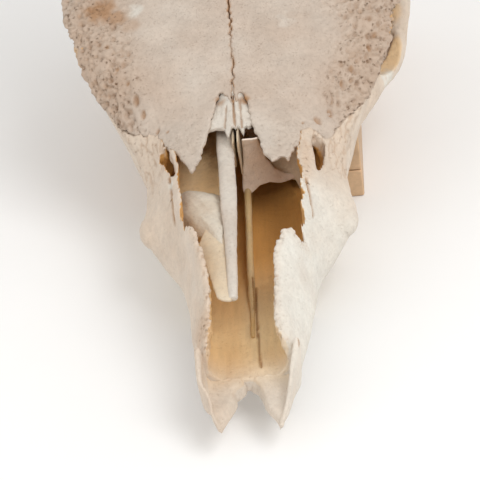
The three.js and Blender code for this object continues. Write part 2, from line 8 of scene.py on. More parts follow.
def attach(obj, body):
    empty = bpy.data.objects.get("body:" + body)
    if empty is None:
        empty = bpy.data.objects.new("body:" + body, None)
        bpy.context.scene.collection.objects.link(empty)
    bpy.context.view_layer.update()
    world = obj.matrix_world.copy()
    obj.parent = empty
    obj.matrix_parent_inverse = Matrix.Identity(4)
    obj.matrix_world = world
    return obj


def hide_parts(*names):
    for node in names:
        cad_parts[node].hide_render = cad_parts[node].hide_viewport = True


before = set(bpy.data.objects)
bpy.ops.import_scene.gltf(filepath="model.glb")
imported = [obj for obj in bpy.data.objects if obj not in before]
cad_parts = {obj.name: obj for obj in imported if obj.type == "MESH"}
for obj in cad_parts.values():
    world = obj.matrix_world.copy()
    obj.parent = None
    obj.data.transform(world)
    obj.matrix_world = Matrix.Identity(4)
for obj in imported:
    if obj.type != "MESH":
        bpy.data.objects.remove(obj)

bl_info = {
    "name": "Waterbuck Skull",
    "version": (1, 0, 0),
    "blender": (4, 5, 0),
    "location": "View3D > Sidebar > Skull",
    "description": "Builds the skull, its horns, the cradle and the stage",
    "category": "Object",
}

MM = 0.001
# From the skull's own axes, with the muzzle tips at y 0, to the frame's origin
OFFSET = np.array([-4.5, -307.0, 0.0])
SUTURE = 0.3   # gap at an open seam
HIDDEN = 0.8   # how far bones run into each other at a seam that has closed
SKIN = 2.3     # thickness of the bone over the nose
FAR = 120.0    # beyond the skull to the side, above and behind
HIGH = 190.0
BEHIND = 430.0
SIDES = ((1, "left"), (-1, "right"))

# Seams across the skull, from front to back
MUZZLE_Y = 34.0
PALATE_Y = 196.0
SPHENOID_Y = 236.0
TEMPORAL_Y = 282.0
CORONAL_Y = 334.0
BASE_Y = 352.0
NUCHAL_Y = 378.0
# Seams along it: distance from the midline or height
BASE_X = 17.0
PALATE_X = 20.0
CHEEK_X = 46.0
PALATE_Z = 30.0
TEAR_Z = 44.0

# y, bottom, lower half-width, widest half-width and its height, edge half-width and height, crown
STATIONS = [
    [24, 14, 14, 18.5, 19, 17.0, 30, 33],
    [36, 14, 15, 21.5, 22, 18.5, 39, 42],
    [60, 14, 17, 26.0, 26, 17.0, 50, 53],
    [85, 15, 19, 28.7, 28, 20.0, 61, 64],
    [105, 15, 24, 33.0, 31, 24.0, 65, 68],
    [122, 15, 30, 41.5, 34, 26.0, 66, 70],
    [139, 15, 33, 49.0, 39, 28.0, 66, 70],
    [152, 15, 35, 47.0, 43, 30.0, 66, 70],
    [170, 15, 38, 46.5, 47, 33.0, 66, 73],
    [188, 16, 41, 50.5, 55, 38.0, 68, 79],
    [203, 18, 42, 60.5, 66, 50.0, 78, 84],
    [218, 21, 40, 70.5, 78, 60.0, 86, 91],
    [236, 28, 36, 76.5, 88, 64.0, 94, 98],
    [262, 36, 32, 81.5, 96, 64.0, 102, 109],
    [278, 39, 32, 79.0, 97, 60.0, 108, 115],
    [292, 42, 32, 64.5, 92, 50.0, 112, 119],
    [315, 44, 34, 46.0, 74, 40.0, 116, 126],
    [345, 44, 34, 44.0, 72, 32.0, 110, 121],
    [372, 45, 33, 41.0, 68, 26.0, 94, 106],
    [390, 50, 24, 33.0, 66, 18.0, 84, 92],
]
# Shift to the left of the lower half: y, distance
LEAN = [[24, 0], [60, 1], [90, 2], [140, 2.2], [170, 1.4], [205, 0]]
# Inside of the nose: y, floor half-width, widest half-width, roof and floor height
NASAL_CAVITY = [
    [10, 11, 15, 40, 17],
    [34, 13, 17.5, 40, 20.6],
    [60, 15, 20, 47.5, 23.5],
    [85, 17, 23, 58, 26],
    [105, 19, 27, 62, 27],
    [140, 20, 33, 64, 28],
    [170, 20, 36, 68.5, 29],
    [196, 15, 30, 75, 31],
    [214, 8, 18, 76, 36],
]
# Edge of the opening of the nose, from the tip backwards and back again: x, y
APERTURE_LEFT = [
    [27, 10], [24, 31], [18.6, 32], [15.5, 36.1], [13.4, 42.4], [14.3, 59.2], [15.2, 77.1],
    [16.5, 80.4],
    [18.5, 86.9], [21.3, 91.1], [25.7, 92.4], [27.5, 95.4], [27.0, 99], [28.8, 106], [27.5, 114],
    [28.9, 121], [27.4, 128], [28.9, 136], [27.0, 146], [26.4, 156], [27.8, 166], [28, 200],
]
APERTURE_RIGHT = [
    [-30, 200], [-29.0, 160], [-27.8, 148], [-28.4, 138], [-26.6, 124], [-26.8, 112], [-25.2, 102],
    [-21.7, 97.4], [-18.4, 84.9], [-15.4, 70.3], [-15.0, 58.7], [-15.2, 45.6], [-17.5, 32], [-24, 10],
]
# Broken edge of each frontal, from the midline outwards: x, y
FRONTAL_EDGE = {
    1: [[0.4, 185], [1.3, 189], [2.3, 194.6], [3.4, 190], [4.4, 187], [5.6, 181], [7.2, 168],
        [10.2, 160], [11.6, 150], [14.2, 145.2], [15.6, 142.4], [17.9, 145], [20.8, 148.4],
        [22.2, 143.8], [24.4, 149], [26, 156], [27.8, 157.6], [28.6, 170], [33.2, 174],
        [38.8, 172.4], [46, 181], [54, 186], [62, 191], [72, 194]],
    -1: [[-2.8, 185], [-4.4, 188.6], [-6.6, 192.8], [-7.8, 190.6], [-9.2, 187], [-10.8, 181.4],
         [-13.6, 170.4], [-15.2, 163], [-16.8, 156], [-17.8, 148], [-19.8, 143.6], [-21.4, 140.2],
         [-23, 144.4], [-25, 150.4], [-26.6, 155.6], [-29, 162], [-31.4, 166.6], [-34.4, 171],
         [-36.4, 180], [-41, 186], [-48, 190], [-56, 194], [-64, 198], [-74, 200]],
}
# Side view of the seam below the frontals and the parietal: y, z
LINE = [[140, 50], [200, 62], [236, 70], [262, 77], [300, 80], [345, 84], [420, 84]]
# The left tear bone from above, and the left cheek bone from the side
LACRIMAL = [
    [28.8, 178], [44, 200], [52, 238], [84, 238], [84, 192], [62, 182], [52, 173],
    [44.5, 161], [38, 146], [33.4, 129], [27, 131],
]
CHEEK = [
    [193, 20], [193, 48], [201, 60], [214, 63], [236, 66], [262, 72], [262, 95], [281.8, 95],
    [281.8, 20],
]
# Lower rim of each orbit, the cheek arch that it runs on into, and the post behind each eye
RIM = {
    1: [[43, 190, 47, 5, 8], [49.8, 207, 50, 5, 9], [58.2, 222, 53, 4.4, 8], [65, 238, 53, 4, 6.5],
        [73, 257, 52.5, 3.6, 6], [75.4, 272, 56, 3.6, 6.5]],
    -1: [[40, 190, 47, 5, 8], [44.5, 207, 50, 5, 9], [51.2, 222, 53, 4.4, 8], [58.5, 238, 53, 4, 6.5],
         [68.2, 257, 52.5, 3.6, 6], [71.6, 272, 56, 3.6, 6.5]],
}
ARCH = [[67, 290, 59, 3.4, 6.5], [62, 308, 60, 4, 7], [53, 324, 64, 7, 7], [37, 336, 68, 8, 8]]
POST = {
    1: [[72.6, 274, 51, 6.5, 4.6], [74.8, 274, 62, 6.2, 4.8], [77.5, 275, 76, 6, 5.2],
        [74, 275, 92, 8, 6.4]],
    -1: [[68.2, 274, 51, 6.5, 4.6], [63.5, 274, 62, 6, 4.8], [64.6, 275, 76, 6.2, 5.2],
         [70, 275, 92, 8, 6.4]],
}
ORBIT = dict(x=68, y=248, z=73.5, length=46, height=38, depth=40, roll=12, yaw=-16)
ORBIT_FLOOR = dict(low=49, high=53.4, inner=[[62, 274], [46, 262]])
TEMPLE = dict(x=68, y=300, z=52, radii=(26, 34, 40))
FACIAL_TUBER = {1: (45.6, 136, 37.5), -1: (-42.4, 141, 37.5)}
TUBER_RADII = (6.4, 11, 6.5)
# Rods of the left side: ear capsule, ear tube, process behind it, joint knob and wing of the palate
SIDE_RODS = [
    [[21, 322, 62, 6, 8], [22.5, 330, 53, 9, 10], [23, 340, 50, 8, 7], [23, 350, 56, 5, 6]],
    [[24, 342, 62, 7, 7], [36, 346, 64, 7, 6], [45, 347, 66, 5, 4.5]],
    [[30, 382, 68, 8, 7], [32, 384, 56, 6, 5], [31, 384, 46, 4, 4], [30.5, 383, 43.9, 2.6, 2.6]],
    [[13, 378, 54, 9, 11], [14.5, 392, 51, 10, 13], [13, 401.4, 54, 7, 9]],
    [[13, 262, 44, 3, 14], [14, 244, 36, 2.6, 14], [15, 230, 30, 2.4, 9]],
]
NECK_CREST = [[-41, 374, 74, 4, 5], [-31, 382, 92, 4, 6], [0, 386, 101, 4, 7], [31, 382, 92, 4, 6],
              [41, 374, 74, 4, 5]]
SKULL_BASE = [[0, 300, 52, 9, 9], [0, 345, 50, 12, 8.6], [0, 380, 52, 13, 9]]
GREAT_HOLE = [[0, 368, 62, 9, 9], [0, 412, 58, 10, 10]]

# The left horn. Its bony stem, the socket of the sheath and the sheath are measured from x, y, z
HORN = dict(x=37, y=292, z=122, rings=24, ringed=0.78, smooth=0.8)
HORN_STEM = [[-3, -5, -24, 30, 31], [0, 0, 0, 27.5, 28.5], [4, 10, 26, 25.5, 26.5]]
HORN_SOCKET = [[-3, -5, -24, 30.6, 31.6], [0, 0, 0, 28.2, 29.2], [4, 10, 26.4, 26.2, 27.2]]
HORN_SHEATH = [
    [3, 5, 12, 31, 33], [15, 44, 74, 28, 30], [48, 112, 172, 24, 26], [86, 164, 288, 19, 21],
    [108, 172, 404, 14, 15], [106, 140, 506, 8.5, 9], [96, 112, 569.6, 2.4, 2.4],
]

# Gap in each tear bone from above
TEAR_GAP = {
    1: [[33.2, 170], [33.6, 160], [34.7, 148], [35.2, 138], [35.8, 142], [36.9, 150], [38.4, 159],
        [39.6, 170]],
    -1: [[-37.8, 170], [-36.6, 164], [-34.2, 156], [-31.8, 147], [-30.2, 138], [-29.4, 146],
         [-30.4, 157], [-33.0, 170]],
}
# Muzzle bones: y and distance from the midline of the outer and the inner side
MUZZLE_OUTER = {1: [[-1.5, 13.9], [4, 15.4], [10, 17.4], [24, 20.6], [33.6, 23.4]],
                -1: [[-0.5, 14.2], [7, 17.0], [15, 18.8], [21, 22.0], [33.6, 22.6]]}
MUZZLE_INNER = {1: [[-1.5, 13.0], [6, 10.8], [15, 7.0], [24, 5.0], [31, 2.8], [33.6, 0.3]],
                -1: [[-0.5, 13.2], [6, 11.2], [14, 8.6], [21, 6.4], [26, 6.6], [31, 2.8], [33.6, 2.2]]}
MUZZLE_TIP = {1: -1.1, -1: -0.1}
MUZZLE_MOUTH = [[-30, 5], [30, 5], [24.5, 33.5], [-24.5, 33.5]]

# Plates in the nose: the free strip of nasal bone and the stubs of the others
NASAL_STRIP = [[-6.8, 199, 69.5, 3.5, 1.4], [-6.8, 176, 65, 4.0, 1.5], [-5.7, 136, 59, 4.0, 1.6],
               [-4.9, 90, 53.4, 2.8, 1.6], [-4.5, 57.5, 47.8, 2.0, 1.5]]
NASAL_SHEET_TIP = [[-5, 57.4], [-7, 56.6], [-9.6, 57.2], [-11.8, 60]]
NASAL_SHEET = [[-14.4, 73], [-17, 86], [-20, 104], [-17, 112], [-9, 113], [-6, 90]]
NASAL_STUBS = [
    [-10.3, 187.4], [-7, 194.6], [-2, 196.4], [2.6, 196.4], [5.2, 187], [6.4, 181], [7.2, 172.8],
    [4.6, 170.6], [3.6, 173.6], [2.6, 166], [0.4, 172], [-1.2, 170.4], [-2.4, 173.6],
    [-4.6, 163.4], [-6.2, 171.4], [-10, 173.2], [-14, 173], [-11.8, 181.4],
]
VOMER_RIDGE = [[1.8, 62, 24.4, 0.9, 0.9], [1.8, 84, 26.8, 1.3, 1.3], [1.6, 108, 32.5, 1.7, 1.8],
               [1.3, 178, 42, 1.6, 1.8], [1.3, 204, 48, 1.6, 1.8]]
VOMER_WALL = [[62, 23.4], [84, 26.8], [108, 32.5], [178, 42], [206, 49], [206, 27.4], [100, 25.5]]
SEPTUM_LEFT = [[160, 70], [166, 49], [208, 49], [208, 72]]
SEPTUM_RIGHT = [[163, 68], [168, 52], [206, 52], [206, 71]]
SEPTUM_BRIDGE = [[186, 50], [206, 50], [206, 66], [190, 66]]
# Upright plates, seen from the front: x, z
FRONT_PLATE = [[1.6, 70], [1.0, 56], [-0.9, 41.5], [0.2, 36.2], [2.4, 38.8], [7.2, 42.2], [11.6, 42.2],
               [16.4, 39.6], [24, 37.4], [24, 39.4], [19, 42.6], [14.6, 47.4], [11.4, 54], [9.6, 62],
               [9, 69]]
BACK_PLATE = [[7, 66], [9.4, 56], [13, 46], [18.4, 37.6], [23, 36.8], [25, 31], [28, 27.4], [28.4, 50],
              [28, 66]]
SCROLL = [
    [[-31, 159, 44], [-25, 157, 47], [-18, 154, 48], [-12, 151, 48], [-8.5, 149, 47]],
    [[-31.5, 149, 49], [-25, 146, 54], [-18, 141, 55.5], [-12, 136, 55], [-8.5, 133, 53.5]],
    [[-30.5, 140, 48], [-25, 135, 52.6], [-18, 129, 54.5], [-12, 121, 55], [-8.5, 117, 54]],
    [[-29.5, 132, 49], [-24, 126, 52.5], [-18, 118, 54.4], [-12, 108, 55.4], [-8.5, 104, 55]],
    [[-27, 125, 44], [-22, 117, 48], [-16, 108, 51.6], [-11, 99, 53.6], [-8.5, 96, 53.6]],
]
SIDE_SHEET = [
    [[-30, 202, 49], [-20, 203, 52], [-9, 202, 53]],
    [[-31, 176, 47], [-20, 176, 50], [-9, 175, 51]],
    [[-31, 150, 43], [-20, 147, 45], [-9, 144, 46]],
]

BLOCK = dict(front=222, back=392, low=-44, high=53, height=41, plinth=14, rest=286, rail=11)
# The row of cheek teeth, each tooth's share of it, and the rings of a lobe: height, share of its width
TEETH = dict(front=116, back=221, across=13.6, in_front=18.5, in_back=31, premolars=3)
TOOTH_SHARE = [0.12, 0.14, 0.15, 0.18, 0.205, 0.205]
LOBE = [(24, 1.0), (16, 1.0), (8, 0.97), (2.5, 0.93), (0.8, 0.88), (0.3, 0.78), (1.4, 0.55), (2.2, 0.3)]

# Small holes for blood vessels in the frontals: x, y, radius, depth
FORAMINA = [
    (-47.2, 199.3, 1.6, 1.8), (-44.3, 193.9, 1.3, 1.4), (-38.0, 184.2, 1.3, 1.4), (42.9, 192.9, 1.6, 1.8),
    (42.5, 187.9, 1.4, 1.6), (36.7, 181.2, 2.0, 2.0), (62.7, 215.0, 1.3, 1.4), (66.0, 221.3, 1.2, 1.4),
    (-55.0, 214.0, 1.1, 1.2), (-50.5, 206.5, 1.0, 1.0), (-59.5, 226.0, 1.2, 1.2), (54.0, 205.0, 1.2, 1.2),
    (49.0, 199.0, 1.0, 1.1), (-33.0, 180.0, 0.9, 0.9), (30.0, 176.0, 0.8, 0.8),
]
# Patches of brown: real stains, and painted shade in the pockets at the tips of the nasal stubs: x, y, z,
# radius, strength
STAIN_AND_SHADE_PATCHES = [
    (-62.3, 250.0, 98, 9, 0.75), (-55.1, 243.1, 98, 7, 0.6), (-48.1, 236.0, 96, 5, 0.35),
    # These three: painted shade in the pockets at the tips of the nasal stubs.
    (-7.4, 188.0, 76, 3.2, 0.75), (3.4, 187.5, 76, 3.4, 0.95), (-10.5, 177.0, 70, 2.2, 0.5),
    (-22.0, 38.0, 34, 3, 0.4),
    (10.8, 42.9, 21, 1.0, 0.7), (-13.6, 40.9, 20, 0.9, 0.7), (-18.6, 60.0, 24, 0.9, 0.6),
    (-9.8, 27.0, 18, 0.8, 0.7), (-29.1, 145.6, 50, 3, 0.4), (-27.2, 121.3, 50, 2.4, 0.9),
]
# Pale patches, mostly painted highlights: light on the thin bone at the front of each orbit and on two
# swellings of the frontals, and a pale spot on the right rim of the nose opening: x, y, z, radius, strength
PALE_SPOTS_AND_HIGHLIGHTS = [(73.0, 238.0, 55, 9, 1.0), (-69.0, 250.0, 54, 8, 0.7), (-46.0, 245.0, 99, 5, 0.8),
            (25.0, 228.0, 98, 7, 0.4), (-31.0, 139.0, 62, 3, 0.9)]
# Slits and open seams: x, y of both ends, height, half-width, depth, stain (a dark seam line with painted
# shade in the gap)
SLITS = [
    (3.0, 101.0, 3.8, 69.4, 27, 0.7, 1.0, 0.9), (3.8, 69.4, 5.0, 41.0, 24, 0.6, 0.9, 0.85),
    (-23.4, 45.6, -22.9, 34.5, 32, 1.0, 0.5, 0.8), (23.6, 40.0, 24.5, 24.0, 32, 0.9, 0.3, 0.75),
    (30.4, 132.0, 32.3, 118.4, 62, 0.55, 1.0, 0.8), (32.3, 118.4, 34.2, 95.0, 60, 0.5, 0.9, 0.7),
    (-32.5, 145.0, -31.4, 130.5, 62, 0.55, 1.0, 0.85), (-31.4, 130.5, -29.8, 101.0, 61, 0.5, 0.9, 0.75),
    (-1.6, 189.0, -1.2, 170.0, 74, 0.6, 1.2, 0.75), (-4.8, 184.0, -6.2, 170.0, 74, 0.5, 0.9, 0.5),
    (1.6, 187.0, 2.0, 170.0, 74, 0.5, 0.9, 0.6), (-9.2, 53.5, -9.1, 33.3, 21, 1.6, 0.0, 0.18),
    (0.0, 71.7, 0.0, 56.3, 24, 1.6, 0.0, 0.2),
]
# Broad hollows and swellings of the frontals: x, y, half-length across and along, height
BROW_FORMS = [(-57, 247, 13, 12, -2.4), (-41, 248, 4, 9, 0.9), (33, 237, 8, 7, -1.2), (25, 228, 7, 6, 0.6)]

# Stage: the camera's place and its own axes in the skull's frame, and the lamps
EYE = np.array([117.892, -1788.554, 1145.276])
CAMERA_RIGHT = Vector((0.99413798, 0.0, -0.10811884))
CAMERA_UP = Vector((0.0934489, 0.50294829, 0.85924986))
CAMERA_BACK = Vector((0.05437819, -0.8643165, 0.5))
LAMP_AIM = Vector((0.0, -0.17, 0.05))
KEY_LAMP = dict(place=(1.1, -1.2, 1.9), size=1.2)
FILL_LAMP = dict(place=(-1.6, -1.4, 1.2), size=1.6)
SKY = (1.0, 0.985, 0.96, 1)


# ---- curves and noise ----
def profile(rows, column):
    """Smooth curve of one column of a table against its first column."""
    rows = np.asarray(rows, float)
    ys, vs = rows[:, 0], rows[:, column]
    last = len(ys) - 1

    def curve(y):
        y = np.clip(np.asarray(y, float), ys[0], ys[-1])
        i = np.clip(np.searchsorted(ys, y, side="right") - 1, 0, last - 1)
        before, after = np.maximum(i - 1, 0), np.minimum(i + 2, last)
        span = ys[i + 1] - ys[i]
        t = (y - ys[i]) / span
        slope_a = (vs[i + 1] - vs[before]) / (ys[i + 1] - ys[before]) * span
        slope_b = (vs[after] - vs[i]) / (ys[after] - ys[i]) * span
        h = t * t * (3 - 2 * t)
        return (vs[i] * (1 - h) + vs[i + 1] * h + slope_a * (t**3 - 2 * t * t + t)
                + slope_b * (t**3 - t * t))

    return curve


def spans(p0, p1, p2, p3, t):
    """Points of the rounded curve from p1 to p2."""
    def knot(a, b):
        return np.maximum(np.linalg.norm(b - a, axis=-1, keepdims=True), 1e-4) ** 0.5

    d0, d1, d2 = knot(p0, p1), knot(p1, p2), knot(p2, p3)
    out = ((p1 - p0) / d0 - (p2 - p0) / (d0 + d1) + (p2 - p1) / d1) * d1
    into = ((p2 - p1) / d1 - (p3 - p1) / (d1 + d2) + (p3 - p2) / d2) * d1
    h = t * t * (3 - 2 * t)
    return p1 * (1 - h) + p2 * h + out * (t**3 - 2 * t * t + t) + into * (t**3 - t * t)


def closed_curve(points, per):
    """Closed rounded curve through points[..., n, 3], with per samples a span."""
    p = np.asarray(points, float)
    t = (np.arange(per) / per)[:, None]
    args = [np.roll(p, shift, axis=-2)[..., :, None, :] for shift in (1, 0, -1, -2)]
    made = spans(*args, t)
    return made.reshape(*p.shape[:-2], -1, 3)


def open_curve(points, ts):
    p = np.asarray(points, float)
    p = np.vstack([2 * p[0] - p[1], p, 2 * p[-1] - p[-2]])
    at = np.clip(np.asarray(ts, float), 0, 1) * (len(p) - 3)
    i = np.minimum(at.astype(int), len(p) - 4)
    return spans(p[i], p[i + 1], p[i + 2], p[i + 3], (at - i)[:, None])


def lattice(cell, seed):
    """A fixed random number from 0 to 1 for every whole-number cell."""
    cell = cell.astype(np.int64)
    n = cell[..., 0] * 73856093 ^ cell[..., 1] * 19349663 ^ cell[..., 2] * 83492791 ^ (seed * 2654435)
    n = (n ^ (n >> 13)) * 1274126177 & 0xFFFFFFFF
    n = (n ^ (n >> 15)) * 2246822519 & 0xFFFFFFFF
    return ((n ^ (n >> 16)) & 0xFFFF) / 65535.0


def noise(points, size, seed):
    """Smooth noise from -1 to 1 with features of that size."""
    q = points / size
    cell = np.floor(q)
    f = q - cell
    f = f * f * (3 - 2 * f)
    total = 0
    for corner in np.ndindex(2, 2, 2):
        c = np.array(corner)
        total = total + lattice(cell + c, seed) * np.prod(np.where(c, f, 1 - f), axis=-1)
    return total * 2 - 1


def rough(points, size, seed, octaves=3):
    return sum(noise(points, size / 2**k, seed + k) / 2**k for k in range(octaves)) / 1.75


def cells(points, size, seed):
    """Distance to the nearest scattered point, in units of size."""
    q = points / size
    cell = np.floor(q)
    best = np.full(len(q), 9.0)
    for step in np.ndindex(3, 3, 3):
        near = cell + np.array(step) - 1
        spot = near + np.stack([lattice(near, seed + k) for k in range(3)], axis=-1)
        best = np.minimum(best, ((spot - q) ** 2).sum(axis=-1))
    return np.sqrt(best)


def ease(low, high, value):
    t = np.clip((value - low) / (high - low), 0, 1)
    return t * t * (3 - 2 * t)


# ---- closed forms ----
def mesh_of(points, faces):
    mesh = bpy.data.meshes.new("form")
    mesh.from_pydata(points, [], faces)
    return mesh


def loft(rings):
    """Closed body through rings[k, i, 3] with a fan at each end."""
    rings = np.asarray(rings, float)
    count, around = rings.shape[:2]
    points = np.vstack([rings.reshape(-1, 3), rings[0].mean(axis=0), rings[-1].mean(axis=0)])
    k, i = np.meshgrid(np.arange(count - 1), np.arange(around), indexing="ij")
    j = (i + 1) % around
    quads = np.stack([k * around + i, k * around + j, (k + 1) * around + j, (k + 1) * around + i], -1)
    faces = quads.reshape(-1, 4).tolist()
    first, second = count * around, count * around + 1
    base = (count - 1) * around
    for a in range(around):
        b = (a + 1) % around
        faces.append([first, b, a])
        faces.append([second, base + a, base + b])
    ends = rings[[0, -1]].mean(axis=1)
    sample = rings[count // 2]
    normal = sum(np.cross(sample[a], sample[(a + 1) % around]) for a in range(around))
    if np.dot(normal, ends[1] - ends[0]) < 0:
        faces = [face[::-1] for face in faces]
    return mesh_of(points, faces)


def rod(stops, sides=24, steps=None, swell=None):
    """Rod of oval section along a rounded path of [x, y, z, half-width, half-height]."""
    steps = steps or (len(stops) - 1) * 10
    ts = np.linspace(0, 1, steps + 1)
    path = open_curve([s[:3] for s in stops], ts)
    size = open_curve([[s[3], s[4], 0] for s in stops], ts)
    tangent = np.gradient(path, axis=0)
    tangent /= np.linalg.norm(tangent, axis=1)[:, None]
    side = np.cross(tangent[0], [0, 0, 1.0])
    if np.linalg.norm(side) < 0.2:
        side = np.array([1.0, 0, 0])
    angle = np.linspace(0, 2 * np.pi, sides, endpoint=False)
    rings = []
    for k in range(steps + 1):
        side = side - tangent[k] * np.dot(side, tangent[k])
        side /= np.linalg.norm(side)
        up = np.cross(side, tangent[k])
        grow = np.ones(sides) if swell is None else swell(ts[k], angle)
        rings.append(path[k] + np.outer(np.cos(angle) * size[k, 0] * grow, side)
                     + np.outer(np.sin(angle) * size[k, 1] * grow, up))
    return loft(rings)


def prism(outline, low, high, axes):
    """Outline pushed along one axis; axes gives the place of u, v and the depth."""
    flat = np.asarray(outline, float)
    n = len(flat)
    points = np.zeros((2 * n, 3))
    for half, depth in ((0, low), (n, high)):
        points[half:half + n, axes[0]] = flat[:, 0]
        points[half:half + n, axes[1]] = flat[:, 1]
        points[half:half + n, axes[2]] = depth
    faces = [list(range(n))[::-1], list(range(n, 2 * n))]
    faces += [[i, (i + 1) % n, n + (i + 1) % n, n + i] for i in range(n)]
    area = 0.5 * sum(flat[i - 1][0] * flat[i][1] - flat[i][0] * flat[i - 1][1] for i in range(n))
    handed = 1 if axes in ((0, 1, 2), (1, 2, 0), (2, 0, 1)) else -1
    if area * handed < 0:
        faces = [face[::-1] for face in faces]
    return mesh_of(points, faces)


def plan(outline, low, high):
    return prism(outline, low, high, (0, 1, 2))


def side_on(outline, low, high):
    return prism(outline, low, high, (1, 2, 0))


def box(x0, x1, y0, y1, z0, z1):
    return plan([[x0, y0], [x1, y0], [x1, y1], [x0, y1]], z0, z1)


def egg(centre, radii, turn=(0, 0, 0), detail=48):
    up = np.linspace(0, np.pi, detail // 2 + 1)[1:-1]
    round_ = np.linspace(0, 2 * np.pi, detail, endpoint=False)
    rings = np.stack([
        np.outer(np.sin(up), np.cos(round_)), np.outer(np.sin(up), np.sin(round_)),
        np.outer(-np.cos(up), np.ones(detail)),
    ], axis=-1) * np.asarray(radii, float)
    from_axes = Matrix.Rotation(turn[2], 3, "Z") @ Matrix.Rotation(turn[1], 3, "Y")
    rings = rings @ np.array(from_axes).T + np.asarray(centre, float)
    return loft(rings)


def shell(grid, thick, fine=8):
    """Curved sheet through a grid of points, with that thickness."""
    grid = np.asarray(grid, float)
    across = np.linspace(0, 1, (grid.shape[1] - 1) * fine + 1)
    along = np.linspace(0, 1, (grid.shape[0] - 1) * fine + 1)
    rows = np.stack([open_curve(row, across) for row in grid])
    skin = np.stack([open_curve(rows[:, k], along) for k in range(len(across))], axis=1)
    normal = np.cross(np.gradient(skin, axis=0), np.gradient(skin, axis=1))
    normal /= np.linalg.norm(normal, axis=-1, keepdims=True) + 1e-9
    upper, lower = skin + normal * thick / 2, skin - normal * thick / 2
    # a ring goes over the upper face and back under the lower one
    return loft(np.concatenate([upper, lower[:, ::-1]], axis=1))


def carve(base, steps, voxel=0, smooth=0):
    """base joined with, cut by or kept within other bodies in turn, then made an even mesh."""
    scene = bpy.context.scene
    made = [bpy.data.objects.new("work", base)]
    scene.collection.objects.link(made[0])
    for how, mesh in steps:
        helper = bpy.data.objects.new("helper", mesh)
        scene.collection.objects.link(helper)
        made.append(helper)
        cut = made[0].modifiers.new(how, "BOOLEAN")
        cut.operation = how
        cut.solver = "MANIFOLD"
        cut.object = helper
    if voxel:
        even = made[0].modifiers.new("even", "REMESH")
        even.mode = "VOXEL"
        even.voxel_size = voxel
    if smooth:
        soft = made[0].modifiers.new("soft", "SMOOTH")
        soft.factor = 0.5
        soft.iterations = smooth
    graph = bpy.context.evaluated_depsgraph_get()
    mesh = bpy.data.meshes.new_from_object(made[0].evaluated_get(graph))
    for thing in made:
        bpy.data.objects.remove(thing)
    if len(mesh.vertices) < 12:
        raise RuntimeError("a form came out empty")
    return mesh


def joined(*meshes):
    return carve(meshes[0], [("UNION", mesh) for mesh in meshes[1:]])


def ragged(points, step, size, seed, keep=2):
    """An open line with a fine uneven edge; the first and last keep points stay put."""
    points = np.asarray(points, float)
    out = []
    for a, b in zip(points[:-1], points[1:]):
        count = max(1, int(round(np.linalg.norm(b - a) / step)))
        out += [a + (b - a) * i / count for i in range(count)]
    out = np.array(out + [points[-1]])
    way = np.gradient(out, axis=0)
    way /= np.linalg.norm(way, axis=1)[:, None] + 1e-9
    rng = np.random.default_rng(seed)
    push = rng.uniform(-1, 1, len(out)) * size
    push[:keep] = 0
    push[-keep:] = 0
    return (out + np.stack([-way[:, 1], way[:, 0]], axis=1) * push[:, None]).tolist()


# ---- the head before it is parted ----
_station = {n: profile(STATIONS, n) for n in range(1, 8)}
_lean = profile(LEAN, 1)
_room = {n: profile(NASAL_CAVITY, n) for n in range(1, 5)}


def span(sign, near):
    """Limits across the skull of all that lies further out than near on that side."""
    return sorted((sign * near, sign * FAR))


def under_skin(front):
    """The body inside the bone over the nose, from front backwards."""
    return loft(head_rings(np.linspace(front, 207, 60), SKIN))


def mirrored(half):
    """A half section, listed from the midline down to the midline up, and its other side."""
    back = half[:, 1:-1][:, ::-1] * np.array([-1.0, 1, 1])
    return np.concatenate([half, back], axis=1)


def head_rings(ys, inset=0.0):
    """Sections of the head, or of a body that lies that far inside it."""
    bottom, low, full, high, edge, edge_z, crown = (_station[n](ys) for n in range(1, 8))
    low, full, edge = low - inset, full - inset, edge - inset * 0.6
    bottom, edge_z, crown = bottom + inset, edge_z - inset, crown - inset
    rows = [
        (0 * ys, bottom), (low * 0.6, bottom), (low, bottom + 1.5), (full * 0.97, high - 5), (full, high),
        ((full + edge) / 2 + 1, (high + edge_z) / 2 + 1), (edge, edge_z),
        (edge * 0.5, edge_z * 0.3 + crown * 0.7), (0 * ys, crown),
    ]
    half = np.stack([np.stack([x, ys, z], axis=-1) for x, z in rows], axis=1)
    rings = mirrored(half)
    rings[..., 0] += _lean(rings[..., 1]) * np.clip((64 - rings[..., 2]) / 20, 0, 1)
    return closed_curve(rings, 8)


def cavity_rings(ys):
    """Sections of the inside of the nose."""
    floor, room, roof, ground = (_room[n](ys) for n in range(1, 5))
    rows = [
        (0 * ys, ground), (floor, ground + 1), (room, (ground + roof) / 2 - 2), (room * 0.8, roof - 4),
        (room * 0.4, roof), (0 * ys, roof),
    ]
    half = np.stack([np.stack([x, ys, z], axis=-1) for x, z in rows], axis=1)
    return closed_curve(mirrored(half), 8)


def flipped(sign, stops):
    return [[sign * s[0], *s[1:]] for s in stops]


def on_horn(sign, path):
    """A path that is measured from the foot of the left horn, set on that side."""
    return [[sign * (HORN["x"] + x), HORN["y"] + y, HORN["z"] + z, *size] for x, y, z, *size in path]


def additions(sign):
    """Rims, arches, capsules and knobs that stand out from the head on one side."""
    rods = [rod(on_horn(sign, HORN_STEM), 48, 20), rod(flipped(sign, RIM[sign] + ARCH))]
    rods += [rod(flipped(sign, path)) for path in SIDE_RODS]
    return rods + [egg(FACIAL_TUBER[sign], TUBER_RADII)]


def eye_ring(sign):
    """Floor of the orbit and the post behind the eye."""
    f = ORBIT_FLOOR
    outer = [stop[:2] for stop in (RIM[sign] + ARCH)[1:6]]
    return [plan(flipped(sign, outer + f["inner"]), f["low"], f["high"]), rod(flipped(sign, POST[sign]))]


def orbit_turn(sign):
    return 0, np.radians(sign * ORBIT["roll"]), np.radians(sign * ORBIT["yaw"])


